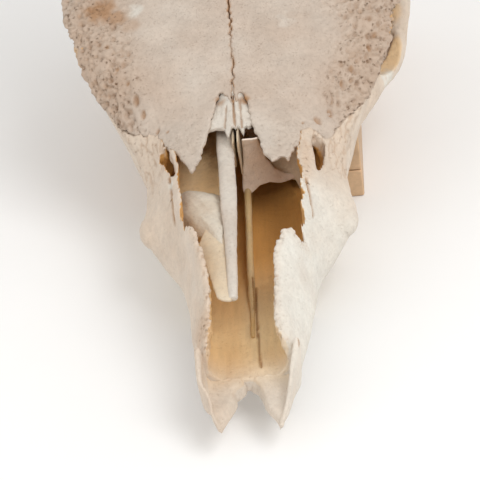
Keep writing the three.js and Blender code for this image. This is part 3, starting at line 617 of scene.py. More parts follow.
def orbit(sign):
    o = ORBIT
    radii = (o["depth"], o["length"] / 2, o["height"] / 2)
    return egg((sign * o["x"], o["y"], o["z"]), radii, orbit_turn(sign), 64)


FORMS = {}


def form(name):
    """A copy of a shared body, which is made on the first call."""
    if name not in FORMS:
        FORMS[name] = MAKERS[name]()
    return FORMS[name].copy()


def make_cavity():
    return loft(cavity_rings(np.linspace(NASAL_CAVITY[0][0], NASAL_CAVITY[-1][0], 110)))


def make_whole():
    """The head in one piece, with its nose, orbits and great hole, cut to sit on the cradle."""
    steps = [("UNION", rod(NECK_CREST)), ("UNION", rod(SKULL_BASE))]
    for sign, _ in SIDES:
        steps += [("UNION", mesh) for mesh in additions(sign)]
    steps += [("DIFFERENCE", form("cavity")), ("DIFFERENCE", rod(GREAT_HOLE))]
    b = BLOCK
    inside = b["rail"] + SUTURE
    for x0, x1, front in ((-FAR, b["low"] + inside, b["front"]), (b["high"] - inside, FAR, b["front"]),
                          (-FAR, FAR, b["rest"])):
        steps.append(("DIFFERENCE", box(x0, x1, front - 1, BEHIND, -1, b["height"] + SUTURE)))
    t = TEMPLE
    for sign, _ in SIDES:
        steps.append(("DIFFERENCE", orbit(sign)))
        steps.append(("DIFFERENCE", egg((sign * t["x"], t["y"], t["z"]), t["radii"])))
        steps += [("UNION", mesh) for mesh in eye_ring(sign)]
    return carve(loft(head_rings(np.linspace(STATIONS[0][0], STATIONS[-1][0], 200))), steps)


def aperture_outline():
    left = ragged(APERTURE_LEFT, 1.1, 0.5, 11, 3)
    right = ragged(APERTURE_RIGHT, 1.1, 0.5, 12, 3)
    return left + right


def midline():
    """The interlocking suture between the two frontals, from front to back."""
    rng = np.random.default_rng(5)
    ys = np.arange(184.0, CORONAL_Y + 3, 1.7)
    wander = rng.uniform(-0.75, 0.75, len(ys))
    wander[0] = 0
    return [[-1.0 + w, y] for w, y in zip(wander, ys)]


def frontal_outline(sign):
    edge = ragged(FRONTAL_EDGE[sign], 0.8, 0.65, 21 + sign, 1)
    mid = [[x + sign * SUTURE * 0.45, y] for x, y in midline()]
    back = [[FAR, 205], [FAR, CORONAL_Y - 30], [34, CORONAL_Y - 4], [24, CORONAL_Y]]
    return mid[::-1] + edge + flipped(sign, back)


def above_line():
    return side_on(LINE + [[BEHIND - 10, HIGH], [140, HIGH]], -FAR, FAR)


def below_line():
    back = [[y, z - SUTURE] for y, z in LINE][::-1]
    return side_on([[10, 0], [BEHIND - 10, 0]] + back + [[140, 90], [10, 90]], -FAR, FAR)


def make_rest():
    """All that isn't frontal, with the opening of the nose cut out."""
    steps = [("DIFFERENCE", plan(aperture_outline(), 32, 120)),
             ("DIFFERENCE", plan(MUZZLE_MOUTH, 24, 60))]
    for sign, _ in SIDES:
        space = carve(plan(frontal_outline(sign), 40, HIGH), [("INTERSECT", above_line())])
        steps.append(("DIFFERENCE", space))
    return carve(form("whole"), steps)


def make_low():
    return carve(form("rest"), [("INTERSECT", below_line())])


MAKERS = {"cavity": make_cavity, "whole": make_whole, "rest": make_rest, "low": make_low}


# ---- from body to finished piece ----
def arrays(mesh):
    points = np.empty(len(mesh.vertices) * 3)
    mesh.vertices.foreach_get("co", points)
    normals = np.empty(len(mesh.vertices) * 3)
    mesh.vertex_normals.foreach_get("vector", normals)
    return points.reshape(-1, 3), normals.reshape(-1, 3)


def patches(points, table):
    """Soft round spots with uneven edges, from a table of x, y, z, radius, strength."""
    x, y, z = points.T
    out = np.zeros(len(points))
    uneven = rough(points, 3, 40, 2) * 0.5
    for cx, cy, cz, radius, strength in table:
        away = np.sqrt((x - cx) ** 2 + (y - cy) ** 2 + (z - cz) ** 2) + uneven * radius
        out = np.maximum(out, (1 - ease(radius * 0.3, radius * 1.3, away)) * strength)
    return out


def from_line(points, x0, y0, x1, y1):
    """Distance in plan to a straight piece of line."""
    way = np.array([x1 - x0, y1 - y0])
    rel = points[:, :2] - [x0, y0]
    t = np.clip(rel @ way / (way @ way + 1e-9), 0, 1)
    return np.linalg.norm(rel - t[:, None] * way, axis=1)


def mound(x, y, centre_x, centre_y, across, along):
    """1 at the middle of a smooth oval, falling to 0 around it."""
    return np.exp(-(((x - centre_x) / across) ** 2 + ((y - centre_y) / along) ** 2))


def orbit_wall_shade(points):
    """1 on the inner walls of the two orbits, where painted shade is laid in the inner colour."""
    out = np.zeros(len(points))
    o = ORBIT
    for sign, _ in SIDES:
        turn = Euler(orbit_turn(sign)).to_matrix()
        local = (points - [sign * o["x"], o["y"], o["z"]]) @ np.array(turn)
        local /= [o["depth"], o["length"] / 2, o["height"] / 2]
        out = np.maximum(out, 1 - ease(0.98, 1.08, np.linalg.norm(local, axis=1)))
    return out


def weather(points, normals, grain=0.12, seed=1, tone=None, inner=None):
    """Shared surface of old bone: relief and the masks that the materials read."""
    x, y, z = points.T
    push = rough(points, 24, seed + 2) * 0.35 + rough(points, 9.0, seed) * grain * 2.4
    push = push + rough(points, 2.4, seed + 7, 2) * grain * 1.3
    # The stain mask: real brown stains, with painted shade in pockets, open seams, pits and holes.
    stain = np.clip(0.5 + rough(points, 16, seed + 20) * 0.9, 0, 1) * 0.14
    stain = np.maximum(stain, patches(points, STAIN_AND_SHADE_PATCHES))
    up = normals[:, 2] > 0.1
    waver = 0.3 * rough(points, 2, 61)
    # Each slit is cut in and darkened: a dark seam line, with painted shade in its gap.
    for x0, y0, x1, y1, height, half, depth, strength in SLITS:
        near = np.abs(z - height) < 7
        away = from_line(points, x0, y0, x1, y1) + waver
        line = (1 - ease(half * 0.5, half * 1.3, away)) * near * up
        push = push - depth * line
        stain = np.maximum(stain, line * strength)
    # Painted light: the face is paler towards +x, the side that faces the key light, over the muzzle; the
    # rough term is the bone's own uneven tone.
    pale = 0.30 + 0.60 * ease(-18, 24, x) * ease(150, 112, y) * (0.4 + 0.6 * ease(14, 58, y))
    pale = pale + 0.16 * rough(points, 11, seed + 31)
    # Painted shade inside the orbits and the nose: their walls take the inner colours, from the shallow
    # colour near the opening of the nose to the deep one further in, darker on the -x side and again at the
    # very front; in the nose this lies over the bone's own tan.
    eye = orbit_wall_shade(points)
    wall = nose_wall_tint_and_shade(points, normals)
    nose_depth_shade = (1 - ease(60, 132, y) - 0.4 * ease(66, 36, y)) * (0.62 + 0.38 * ease(-7, 5, x))
    pale = pale + (nose_depth_shade - pale) * wall
    pale = pale + (0.5 - pale) * eye
    if tone is not None:
        pale = tone + 0.15 * rough(points, 8, seed + 31)
    # Painted highlights, and a pale spot on the rim of the nose: they raise the tone and clear the stain and
    # the inner colour there.
    pale_spots_and_highlights = patches(points, PALE_SPOTS_AND_HIGHLIGHTS)
    pale = np.maximum(pale, pale_spots_and_highlights)
    wall = np.maximum(wall, eye * 0.85) * (1 - pale_spots_and_highlights)
    return push, {
        "inner": wall if inner is None else inner + 0 * x,
        "stain": stain * (1 - pale_spots_and_highlights), "tone": np.clip(pale, 0, 1), "rugose": 0 * x,
    }


def nose_wall_tint_and_shade(points, normals):
    """1 on the walls of the nose that face its middle, 0 outside: where the nose gets its inner colour, the
    bone's own tan with painted shade and bounce light.
    """
    x, y, z = points.T
    roof, ground, room = _room[3](y), _room[4](y), _room[2](y)
    within = (np.abs(x) < room + 1.4) & (z < roof + 1.2) & (z > ground - 1.4) & (y < 216)
    toward = -normals[:, 0] * x + normals[:, 2] * ((roof + ground) / 2 - z)
    return within * ease(0.0, 2.5, toward) * ease(18, 56, y)


def brow(points, normals, seed=3):
    """Surface of the frontals: rugged over the orbits, with vessel holes and the midline suture."""
    push, masks = weather(points, normals, 0.10, seed)
    x, y, z = points.T
    wander = rough(points, 14, seed + 3)
    side = ease(38, 58, np.abs(x) + wander * 7 - np.clip((y - 225) / 6, -3, 6))
    side = side * ease(168, 190, y) * (z > 50)
    low = ease(186, 168, y) * ease(12, 20, np.abs(x)) * (z > 50) * 0.35
    rugged = np.maximum(side, low)
    masks["rugose"] = rugged
    worms = points * np.array([1.0, 0.55, 1.0])
    tiny = 1 - ease(0.14, 0.36, cells(points, 2.0, seed + 6))
    pits = 1 - ease(0.12, 0.40, cells(points, 3.2, seed + 5))
    deep = 1 - ease(0.10, 0.42, cells(worms, 4.6, seed + 8))
    furrow = 1 - ease(0.02, 0.10, np.abs(rough(worms, 5.0, seed + 12, 2)))
    push = push - rugged * (tiny * 0.6 + pits * 1.15 + deep * 1.7 + furrow * 0.8)
    push = push + rugged * rough(points, 6, seed + 9) * 1.9 + rugged * rough(points, 1.9, seed + 10, 2) * 0.7
    # Painted shade in the pits and furrows of the rugged bone.
    recess_shade = np.maximum.reduce([deep * 0.34, pits * 0.24, tiny * 0.2, furrow * 0.2])
    masks["stain"] = np.maximum(masks["stain"], rugged * recess_shade)
    for cx, cy, radius, depth in FORAMINA:
        away = np.hypot(x - cx, (y - cy) * 0.8)
        hole = (1 - ease(radius * 0.35, radius * 1.25, away)) * (normals[:, 2] > 0.2)
        push = push - depth * hole
        # Painted shade in the vessel hole.
        masks["stain"] = np.maximum(masks["stain"], hole * 0.6)
    for *place, height in BROW_FORMS:
        push = push + height * mound(x, y, *place) * (normals[:, 2] > 0.2)
    tone = 0.22 + 0.2 * rough(points, 20, 77) + 0.22 * ease(190, 160, y) + 0.2 * side * rough(points, 7, 78)
    # Painted highlights raise the tone of the frontals.
    masks["tone"] = np.clip(np.maximum(tone, patches(points, PALE_SPOTS_AND_HIGHLIGHTS)), 0, 1)
    masks["inner"] = masks["inner"] * (z < 88)
    seam = np.array(midline())
    near = 1 - ease(0.3, 1.1, np.abs(x - np.interp(y, seam[:, 1], seam[:, 0])))
    patchy = 0.35 + 0.5 * ease(-0.2, 0.4, rough(points, 5, seed + 15))
    masks["stain"] = np.maximum(masks["stain"], near * patchy * (normals[:, 2] > -0.2))
    return push, masks


def face_bone(points, normals, seed=4):
    """Surface of the jaws, muzzle and tear bones: a crimped edge, porous patches and scratches."""
    push, masks = weather(points, normals, 0.10, seed)
    x, y, z = points.T
    away = np.full(len(points), 99.0)
    for outline in (APERTURE_LEFT, APERTURE_RIGHT):
        for (x0, y0), (x1, y1) in zip(outline[:-1], outline[1:]):
            away = np.minimum(away, from_line(points, x0, y0, x1, y1))
    upper = (z > 33) * (y > 34)
    rim = (1 - ease(0.8, 3.4, away)) * upper * (y < 97)
    crimp = rough(points, 1.7, seed + 4, 2)
    push = push + rim * (0.4 + crimp * 0.95)
    patch = mound(x, y, -20, 46, 4, 9) * (z > 30)
    strip = mound(x, y, 30.6, 143, 2.4, 15) * (z > 50)
    streaked = ease(138, 165, y) * ease(24, 34, np.abs(x)) * (z > 45)
    porous = np.clip(patch + strip + rim * 0.4, 0, 1)
    holes = 1 - ease(0.12, 0.4, cells(points, 1.8, seed + 5))
    scratches = 1 - ease(0.03, 0.14, np.abs(rough(points * [1.0, 0.22, 1.0], 3.0, seed + 9, 2)))
    push = push - porous * holes * 0.6 - streaked * scratches * 0.4
    masks["rugose"] = np.clip(porous + streaked * 0.35, 0, 1)
    # Painted shade in the pores, the scratches and the low parts of the crimped edge.
    recess_shade = np.maximum.reduce([porous * holes * 0.5, streaked * scratches * 0.35,
                               rim * ease(0.1, 0.6, -crimp) * 0.5])
    masks["stain"] = np.maximum(masks["stain"], recess_shade)
    masks["tone"] = np.clip(masks["tone"] - patch * 0.3, 0, 1)
    return push, masks


def finish(mesh, name, replaced, colour, slot, relief=weather, warp=None, **more):
    """Surface relief, masks, real size and place, then the piece joins the frame."""
    points, normals = arrays(mesh)
    push, masks = relief(points, normals, **more)
    points = points + normals * push[:, None]
    if warp:
        points = points + warp(points)
    mesh.vertices.foreach_set("co", ((points + OFFSET) * MM).ravel())
    for key, values in masks.items():
        layer = mesh.attributes.new(key, "FLOAT", "POINT")
        layer.data.foreach_set("value", np.asarray(values, np.float32))
    mesh.polygons.foreach_set("use_smooth", np.ones(len(mesh.polygons), bool))
    mesh.materials.clear()
    mesh.materials.append(material(colour))
    mesh.update()
    piece = bpy.data.objects.new(name.replace(" ", "_"), mesh)
    bpy.context.scene.collection.objects.link(piece)
    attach(piece, "root")
    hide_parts(*replaced)


# ---- materials ----
def feed(tree, socket, source):
    """Links a source to an input, or sets a plain value there."""
    if hasattr(source, "node"):
        tree.links.new(source, socket)
    else:
        socket.default_value = source


def node(tree, kind, inputs=None, **properties):
    made = tree.nodes.new(kind)
    for key, value in properties.items():
        setattr(made, key, value)
    for socket, source in (inputs or {}).items():
        feed(tree, made.inputs[socket], source)
    return made


def maths(tree, how, *sources):
    return node(tree, "ShaderNodeMath", dict(enumerate(sources)), operation=how).outputs[0]


def ramp(tree, source, stops):
    made = node(tree, "ShaderNodeValToRGB", {0: source})
    while len(made.color_ramp.elements) < len(stops):
        made.color_ramp.elements.new(0.5)
    for element, (at, value) in zip(made.color_ramp.elements, stops):
        element.position = at
        element.color = (value, value, value, 1)
    return made.outputs[0]


def blend(tree, factor, a, b, how="MIX"):
    made = node(tree, "ShaderNodeMix", {0: factor, 6: a, 7: b}, data_type="RGBA", blend_type=how)
    return made.outputs[2]


def group(name, inputs, outputs):
    tree = bpy.data.node_groups.new(name, "ShaderNodeTree")
    for label, kind, value in inputs:
        socket = tree.interface.new_socket(label, in_out="INPUT", socket_type=kind)
        socket.default_value = value
    for label, kind in outputs:
        tree.interface.new_socket(label, in_out="OUTPUT", socket_type=kind)
    return tree, tree.nodes.new("NodeGroupInput"), tree.nodes.new("NodeGroupOutput")


def shared(name):
    if name not in bpy.data.node_groups:
        GROUPS[name]()
    return bpy.data.node_groups[name]


def use(tree, name, **values):
    return node(tree, "ShaderNodeGroup", values, node_tree=shared(name))


def make_grain():
    """Fine uneven surface: a colour variation and a height."""
    tree, start, end = group("Bone Grain", [("Size", "NodeSocketFloat", 0.004)],
                             [("Variation", "NodeSocketFloat"), ("Height", "NodeSocketFloat")])
    where = node(tree, "ShaderNodeTexCoord").outputs["Object"]
    scale = maths(tree, "DIVIDE", 1.0, start.outputs[0])
    broad = node(tree, "ShaderNodeTexNoise", {"Vector": where, "Scale": scale, 3: 6.0, 4: 0.62})
    high = maths(tree, "MULTIPLY", scale, 5.0)
    fine = node(tree, "ShaderNodeTexNoise", {"Vector": where, "Scale": high, 3: 4.0, 4: 0.6})
    feed(tree, end.inputs[0], broad.outputs[0])
    feed(tree, end.inputs[1], maths(tree, "ADD", broad.outputs[0], fine.outputs[0]))


def make_pits():
    """Scattered small holes: a mask and a height."""
    tree, start, end = group("Small Pits",
                             [("Size", "NodeSocketFloat", 0.003), ("Amount", "NodeSocketFloat", 0.5)],
                             [("Mask", "NodeSocketFloat"), ("Height", "NodeSocketFloat")])
    where = node(tree, "ShaderNodeTexCoord").outputs["Object"]
    scale = maths(tree, "DIVIDE", 1.0, start.outputs[0])
    warp = node(tree, "ShaderNodeTexNoise", {"Vector": where, "Scale": scale, 3: 2.0})
    shifted = node(tree, "ShaderNodeMixRGB", {0: 0.002, 1: where, 2: warp.outputs[1]})
    spots = node(tree, "ShaderNodeTexVoronoi", {"Vector": shifted.outputs[0], "Scale": scale})
    hole = ramp(tree, spots.outputs[0], [(0.08, 1.0), (0.34, 0.0)])
    pick = node(tree, "ShaderNodeTexNoise", {"Vector": where, "Scale": scale, 3: 1.0})
    chosen = ramp(tree, pick.outputs[0], [(0.42, 0.0), (0.58, 1.0)])
    mask = maths(tree, "MULTIPLY", maths(tree, "MULTIPLY", hole, chosen), start.outputs[1])
    feed(tree, end.inputs[0], mask)
    feed(tree, end.inputs[1], maths(tree, "MULTIPLY", mask, -1.0))


def make_streaks():
    """Long fibres along one axis: a mask."""
    tree, start, end = group("Fibres", [("Stretch", "NodeSocketVector", (400.0, 30.0, 400.0))],
                             [("Mask", "NodeSocketFloat")])
    where = node(tree, "ShaderNodeTexCoord").outputs["Object"]
    pulled = node(tree, "ShaderNodeVectorMath", {0: where, 1: start.outputs[0]}, operation="MULTIPLY")
    fibre = node(tree, "ShaderNodeTexNoise", {"Vector": pulled.outputs[0], 2: 1.0, 3: 5.0, 4: 0.6})
    feed(tree, end.inputs[0], ramp(tree, fibre.outputs[0], [(0.3, 0.0), (0.7, 1.0)]))


GROUPS = {"Bone Grain": make_grain, "Small Pits": make_pits, "Fibres": make_streaks}


def mask_of(tree, name):
    return node(tree, "ShaderNodeAttribute", attribute_name=name).outputs["Fac"]


def start_material(name, roughness):
    material = bpy.data.materials.new(name)
    material.use_nodes = True
    tree = material.node_tree
    shader = tree.nodes["Principled BSDF"]
    shader.inputs["Roughness"].default_value = roughness
    return material, tree, shader


def shade(colour, share=1.0):
    """That colour with its full alpha, darker or lighter."""
    return (*(min(1, c * share) for c in colour[:3]), 1.0)


def surface(tree, shader, colour, height, strength, distance):
    """Colour and fine relief of a material."""
    feed(tree, shader.inputs["Base Color"], colour)
    bump = node(tree, "ShaderNodeBump", {"Height": height, 0: strength, 1: distance})
    feed(tree, shader.inputs["Normal"], bump.outputs[0])


def bone_material(name, base, pale, deep, shallow, stain):
    made, tree, shader = start_material(name, 0.55)
    rugose = mask_of(tree, "rugose")
    tone = mask_of(tree, "tone")
    grain = use(tree, "Bone Grain", Size=0.012)
    fine = use(tree, "Bone Grain", Size=0.0022)
    pits = use(tree, "Small Pits", Size=0.0024, Amount=maths(tree, "MULTIPLY_ADD", rugose, 0.9, 0.10))
    pores = use(tree, "Small Pits", Size=0.0011, Amount=0.35)
    fibres = use(tree, "Fibres")
    # The tone mask mixes the bone towards the pale colour: partly the bone's own uneven tone, partly painted
    # light on the side that faces the key light and painted highlights.
    colour = blend(tree, tone, shade(base), shade(pale))
    mottle = ramp(tree, grain.outputs[0], [(0.3, 0.76), (0.7, 1.0)])
    colour = blend(tree, 0.6, colour, mottle, "MULTIPLY")
    speckle = ramp(tree, fine.outputs[0], [(0.32, 0.80), (0.6, 1.0)])
    colour = blend(tree, 0.5, colour, speckle, "MULTIPLY")
    warm = [c * k for c, k in zip(base, (0.86, 0.76, 0.66))]
    colour = blend(tree, maths(tree, "MULTIPLY", rugose, 0.45), colour, shade(warm))
    shadow = ramp(tree, fibres.outputs[0], [(0.0, 0.88), (1.0, 1.0)])
    # Painted shade and warm bounce light over the bone's own tan, on the walls of the nose and the orbits
    # that the inner mask marks, from the deep colour to the shallow one.
    inner_tint_and_shade = blend(tree, 1.0, blend(tree, tone, shade(deep), shade(shallow)), shadow, "MULTIPLY")
    colour = blend(tree, mask_of(tree, "inner"), colour, inner_tint_and_shade)
    # Real stains and painted shade: the stain mask, then the small pits and pores, which are darkened as well
    # as bumped down.
    colour = blend(tree, mask_of(tree, "stain"), colour, shade(stain))
    colour = blend(tree, maths(tree, "MULTIPLY", pits.outputs[0], 0.75), colour, shade(stain, 0.45))
    colour = blend(tree, maths(tree, "MULTIPLY", pores.outputs[0], 0.6), colour, shade(stain))
    small = maths(tree, "MULTIPLY_ADD", fine.outputs[1], 0.22, pores.outputs[1])
    large = maths(tree, "MULTIPLY_ADD", grain.outputs[1], 0.45, pits.outputs[1])
    surface(tree, shader, colour, maths(tree, "ADD", small, large), 0.7, 0.0012)
    feed(tree, shader.inputs["Roughness"], ramp(tree, grain.outputs[0], [(0.2, 0.48), (0.8, 0.68)]))
    return made


def tooth_material(colours):
    made, tree, shader = start_material("Tooth", 0.35)
    fibres = use(tree, "Fibres", Stretch=(300.0, 300.0, 40.0)).outputs[0]
    colour = blend(tree, fibres, (0.58, 0.47, 0.30, 1), (0.80, 0.74, 0.60, 1))
    surface(tree, shader, colour, fibres, 0.3, 0.0006)
    return made


def horn_material(colours):
    made, tree, shader = start_material("Horn", 0.42)
    fibres = use(tree, "Fibres", Stretch=(500.0, 500.0, 24.0)).outputs[0]
    grain = use(tree, "Bone Grain", Size=0.02)
    colour = blend(tree, fibres, shade(colours.horn, 0.45), shade(colours.horn))
    # The horn is paler on the faces that look down, towards its foot.
    paler_underside = maths(tree, "MULTIPLY", mask_of(tree, "rugose"), 0.6)
    colour = blend(tree, paler_underside, colour, shade(colours.horn, 2.6))
    surface(tree, shader, colour, maths(tree, "ADD", fibres, grain.outputs[1]), 0.45, 0.0008)
    return made


def wood_material(colours):
    made, tree, shader = start_material("Wood", 0.5)
    wood = colours.wood
    where = node(tree, "ShaderNodeTexCoord").outputs["Object"]
    pulled = node(tree, "ShaderNodeVectorMath", {0: where, 1: (60.0, 5.0, 60.0)}, operation="MULTIPLY")
    ring = node(tree, "ShaderNodeTexNoise", {"Vector": pulled.outputs[0], 2: 1.0, 3: 4.0, 4: 0.5, 8: 1.2})
    fibres = use(tree, "Fibres", Stretch=(900.0, 40.0, 900.0)).outputs[0]
    bands = ramp(tree, ring.outputs[0], [(0.3, 0.0), (0.7, 1.0)])
    colour = blend(tree, bands, shade(wood, 0.72), shade(wood))
    colour = blend(tree, maths(tree, "MULTIPLY", fibres, 0.35), colour, shade(wood, 0.6))
    colour = blend(tree, maths(tree, "MULTIPLY", mask_of(tree, "edge"), 0.35), colour, shade(wood, 1.35))
    surface(tree, shader, colour, fibres, 0.25, 0.0004)
    return made


MATERIALS = {}


def material(name):
    """The material of that name, which is made on the first call."""
    if name not in MATERIALS:
        c = bpy.context.scene.skull_colours
        others = {"tooth": tooth_material, "horn": horn_material, "wood": wood_material}
        if name in others:
            MATERIALS[name] = others[name](c)
        else:
            MATERIALS[name] = bone_material(f"{name.title()} Bone", getattr(c, name), c.pale, c.inner,
                                            c.shallow, c.stain)
    return MATERIALS[name]


# ---- settings ----
def grid_setting(label, bones, value, least):
    return bpy.props.FloatProperty(name=label, description=f"Mesh spacing of the {bones}", default=value,
                                   min=least, subtype="DISTANCE", unit="LENGTH")


def power_setting(label, lamp, value):
    return bpy.props.FloatProperty(name=label, description=f"Power of the {lamp} light", default=value,
                                   unit="POWER")


def colour_setting(label, text, value):
    return bpy.props.FloatVectorProperty(name=label, description=text, default=value, size=3,
                                         subtype="COLOR", min=0.0, max=1.0)


class SkullSizes(bpy.types.PropertyGroup):
    """Fineness of the meshes and depth of the horn rings."""

    face_grid: grid_setting("Face grid", "bones that show most", 0.0008, 0.0005)
    back_grid: grid_setting("Back grid", "bones behind", 0.0013, 0.0006)
    plate_grid: grid_setting("Plate grid", "thin plates", 0.0005, 0.0003)
    ring_depth: bpy.props.FloatProperty(name="Ring depth",
                                        description="Swell of a ring as a share of the horn",
                                        default=0.045, min=0.0, max=0.1, subtype="FACTOR")


class SkullColours(bpy.types.PropertyGroup):
    """Colours of the bone, the horn and the cradle."""

    bone: colour_setting("Bone", "Outer bone of the face", (0.72, 0.57, 0.44))
    brow: colour_setting("Brow", "Outer bone of the frontals", (0.545, 0.43, 0.345))
    # Pale bone is also the colour of the painted light on the side that faces the key light, and of the
    # painted highlights.
    pale: colour_setting("Pale bone", "Bleached bone", (0.84, 0.82, 0.75))
    # The bone's own tan inside the nose with painted shade and warm bounce light; the orbit walls take it as
    # painted shade.
    inner: colour_setting("Inner bone", "Bone deep inside the nose", (0.72, 0.38, 0.11))
    # The lit end of the painted shade on the floor of the nose.
    shallow: colour_setting("Shallow bone", "Bone on the open floor of the nose", (0.98, 0.79, 0.48))
    plate: colour_setting("Plates", "Grey plates in the nose", (0.66, 0.58, 0.50))
    pink: colour_setting("Pink plate", "Curved plate beside the septum", (1.0, 0.84, 0.70))
    cream: colour_setting("Scroll", "Cream plates in the nose", (0.78, 0.62, 0.42))
    amber: colour_setting("Side sheet", "Smooth sheet on the right of the nose", (0.98, 0.70, 0.37))
    tan: colour_setting("Tan plates", "Tan plates in the nose", (0.72, 0.50, 0.22))
    # Brown of real stains, and of the painted shade in pits, holes, pockets and open seams.
    stain: colour_setting("Stain", "Brown stain", (0.36, 0.17, 0.055))
    horn: colour_setting("Horn", "Horn sheath", (0.075, 0.044, 0.026))
    wood: colour_setting("Wood", "Cradle", (0.64, 0.43, 0.26))
    floor: colour_setting("Floor", "Floor of the stage", (0.93, 0.93, 0.93))


class SkullStage(bpy.types.PropertyGroup):
    """Camera and light."""

    lens: bpy.props.FloatProperty(name="Lens", description="Focal length", default=365.04, unit="CAMERA")
    key: power_setting("Key light", "main", 22.0)
    fill: power_setting("Fill light", "weak", 5.0)
    sky: bpy.props.FloatProperty(name="Surroundings", description="Brightness of the surroundings",
                                 default=0.85)


def grids():
    sizes = bpy.context.scene.skull_sizes
    return sizes.face_grid / MM, sizes.back_grid / MM, sizes.plate_grid / MM


class SKULL_OT_frontals(bpy.types.Operator):
    """Builds the two frontal bones with their horn pedicles"""

    bl_idname = "skull.frontals"
    bl_label = "Frontals"

    def execute(self, context):
        grid = grids()[0]
        inner = carve(under_skin(130), [("INTERSECT", box(-44, 44, 120, 206, 30, HIGH))])
        for sign, side in SIDES:
            mesh = carve(form("whole"), [
                ("INTERSECT", plan(frontal_outline(sign), 40, HIGH)), ("INTERSECT", above_line()),
                ("DIFFERENCE", inner.copy()),
            ], grid, 1)
            finish(mesh, f"frontal bone {side}", [f"frontal_{side}"], "brow", "bone", brow)
        return {"FINISHED"}


class SKULL_OT_face(bpy.types.Operator):
    """Builds the upper jaws with their cheek teeth, and the front bones of the muzzle"""

    bl_idname = "skull.face"
    bl_label = "Jaws and muzzle"

    def execute(self, context):
        grid = grids()[0]
        for sign, side in SIDES:
            mesh = carve(form("rest"), [
                ("INTERSECT", box(*span(sign, -HIDDEN), MUZZLE_Y - HIDDEN, SPHENOID_Y, 0, 95)),
                ("DIFFERENCE", plan(flipped(sign, widened(LACRIMAL, -HIDDEN / 2)), TEAR_Z - SUTURE, 130)),
                ("DIFFERENCE", box(-PALATE_X, PALATE_X, PALATE_Y - SUTURE, 400, 0, PALATE_Z + SUTURE)),
                ("DIFFERENCE", side_on(CHEEK, *span(sign, CHEEK_X - SUTURE))),
            ], grid, 1)
            finish(mesh, f"upper jaw {side}", [f"maxilla_{side}"], "bone", "bone", face_bone)
            finish(muzzle(sign), f"muzzle bone {side}", [f"premaxilla_{side}"], "bone", "bone", face_bone)
            teeth(sign, side)
        return {"FINISHED"}


def widened(outline, distance):
    """A closed outline that is moved outwards by that distance."""
    flat = np.asarray(outline, float)
    area = sum(flat[i - 1][0] * flat[i][1] - flat[i][0] * flat[i - 1][1] for i in range(len(flat)))
    way = np.roll(flat, -1, 0) - np.roll(flat, 1, 0)
    way /= np.linalg.norm(way, axis=1)[:, None]
    return (flat + np.stack([way[:, 1], -way[:, 0]], 1) * distance * np.sign(area)).tolist()


def muzzle(sign):
    """One front bone: a gutter with a floor, an outer wall and a pointed tip."""
    start = MUZZLE_TIP[sign]
    ys = np.linspace(start, MUZZLE_Y + HIDDEN / 2, 60)
    outer = profile(MUZZLE_OUTER[sign], 1)(ys)
    inner = profile(MUZZLE_INNER[sign], 1)(ys)
    grow = (ys - start) / (33.8 - start)
    low = 13.4 - 1.4 * grow
    floor = low + 2.2 + 6.4 * grow
    wall = 1.2 + 2 * grow
    top = floor + 1 + 17 * grow**1.1
    rows = [(inner, low + 0.8), (outer - wall * 1.6, low), (outer - wall * 0.6, low + 1.6),
            (outer - 0.2, (low + top) / 2), (outer, top), (outer - wall * 0.7, top - 0.3),
            (outer - wall * 1.5, floor + 1.4), (inner + wall * 0.4, floor)]
    rings = np.stack([np.stack([sign * x, ys, z], axis=-1) for x, z in rows], axis=1)
    return carve(loft(closed_curve(rings, 6)), [], 0.6, 1)


def teeth(sign, side):
    """A row of six cheek teeth with paired lobes, cupped on the biting face."""
    t = TEETH
    y = t["front"]
    rng = np.random.default_rng(31 + sign)
    angle = np.linspace(0, 2 * np.pi, 40, endpoint=False)
    parts = []
    for i, share in enumerate(TOOTH_SHARE):
        premolar = i < t["premolars"]
        long = (t["back"] - t["front"]) * share
        x = t["in_front"] + (t["in_back"] - t["in_front"]) * i / 5 + 2
        wide = t["across"] * (0.76 if premolar else 1.0) * 0.94
        lobes = 1 if premolar else 2
        for k in range(lobes):
            at = y + long / 2 + (k - (lobes - 1) / 2) * long * 0.46
            fold = 1 + 0.07 * np.cos(4 * angle + rng.uniform(0, 1)) * (np.cos(angle) * sign > 0)
            rings = []
            for z, size in LOBE:
                rings.append(np.stack([sign * x + np.cos(angle) * wide / 2 * fold * size,
                                       at + np.sin(angle) * long / lobes * 0.55 * fold * size,
                                       z + 0 * angle + rng.uniform(0, 0.2)], axis=1))
            parts.append(loft(rings))
        y += long
    row = carve(parts[0], [("UNION", part) for part in parts[1:]], 0.6, 1)
    finish(row, f"cheek teeth {side}", [f"maxilla_{side}"], "tooth", "bone", grain=0.04, seed=12)


class SKULL_OT_cheeks(bpy.types.Operator):
    """Builds the tear bones and the cheek bones with the rims of the orbits"""

    bl_idname = "skull.cheeks"
    bl_label = "Tear and cheek bones"

    def execute(self, context):
        grid = grids()[0]
        for sign, side in SIDES:
            mesh = carve(form("rest"), [
                ("INTERSECT", plan(flipped(sign, widened(LACRIMAL, HIDDEN / 2)), TEAR_Z, 130)),
                ("DIFFERENCE", side_on(widened(CHEEK, SUTURE), *span(sign, CHEEK_X - SUTURE))),
                ("DIFFERENCE", plan(ragged(TEAR_GAP[sign], 1.2, 0.4, 15, 1), 40, 130)),
            ], grid, 1)
            finish(mesh, f"tear bone {side}", [f"lacrimal_{side}"], "bone", "bone", face_bone)
            mesh = carve(form("low"), [("INTERSECT", side_on(CHEEK, *span(sign, CHEEK_X)))], grid, 1)
            finish(mesh, f"cheek bone {side}", [f"jugal_{side}"], "bone", "bone", seed=6)
        return {"FINISHED"}


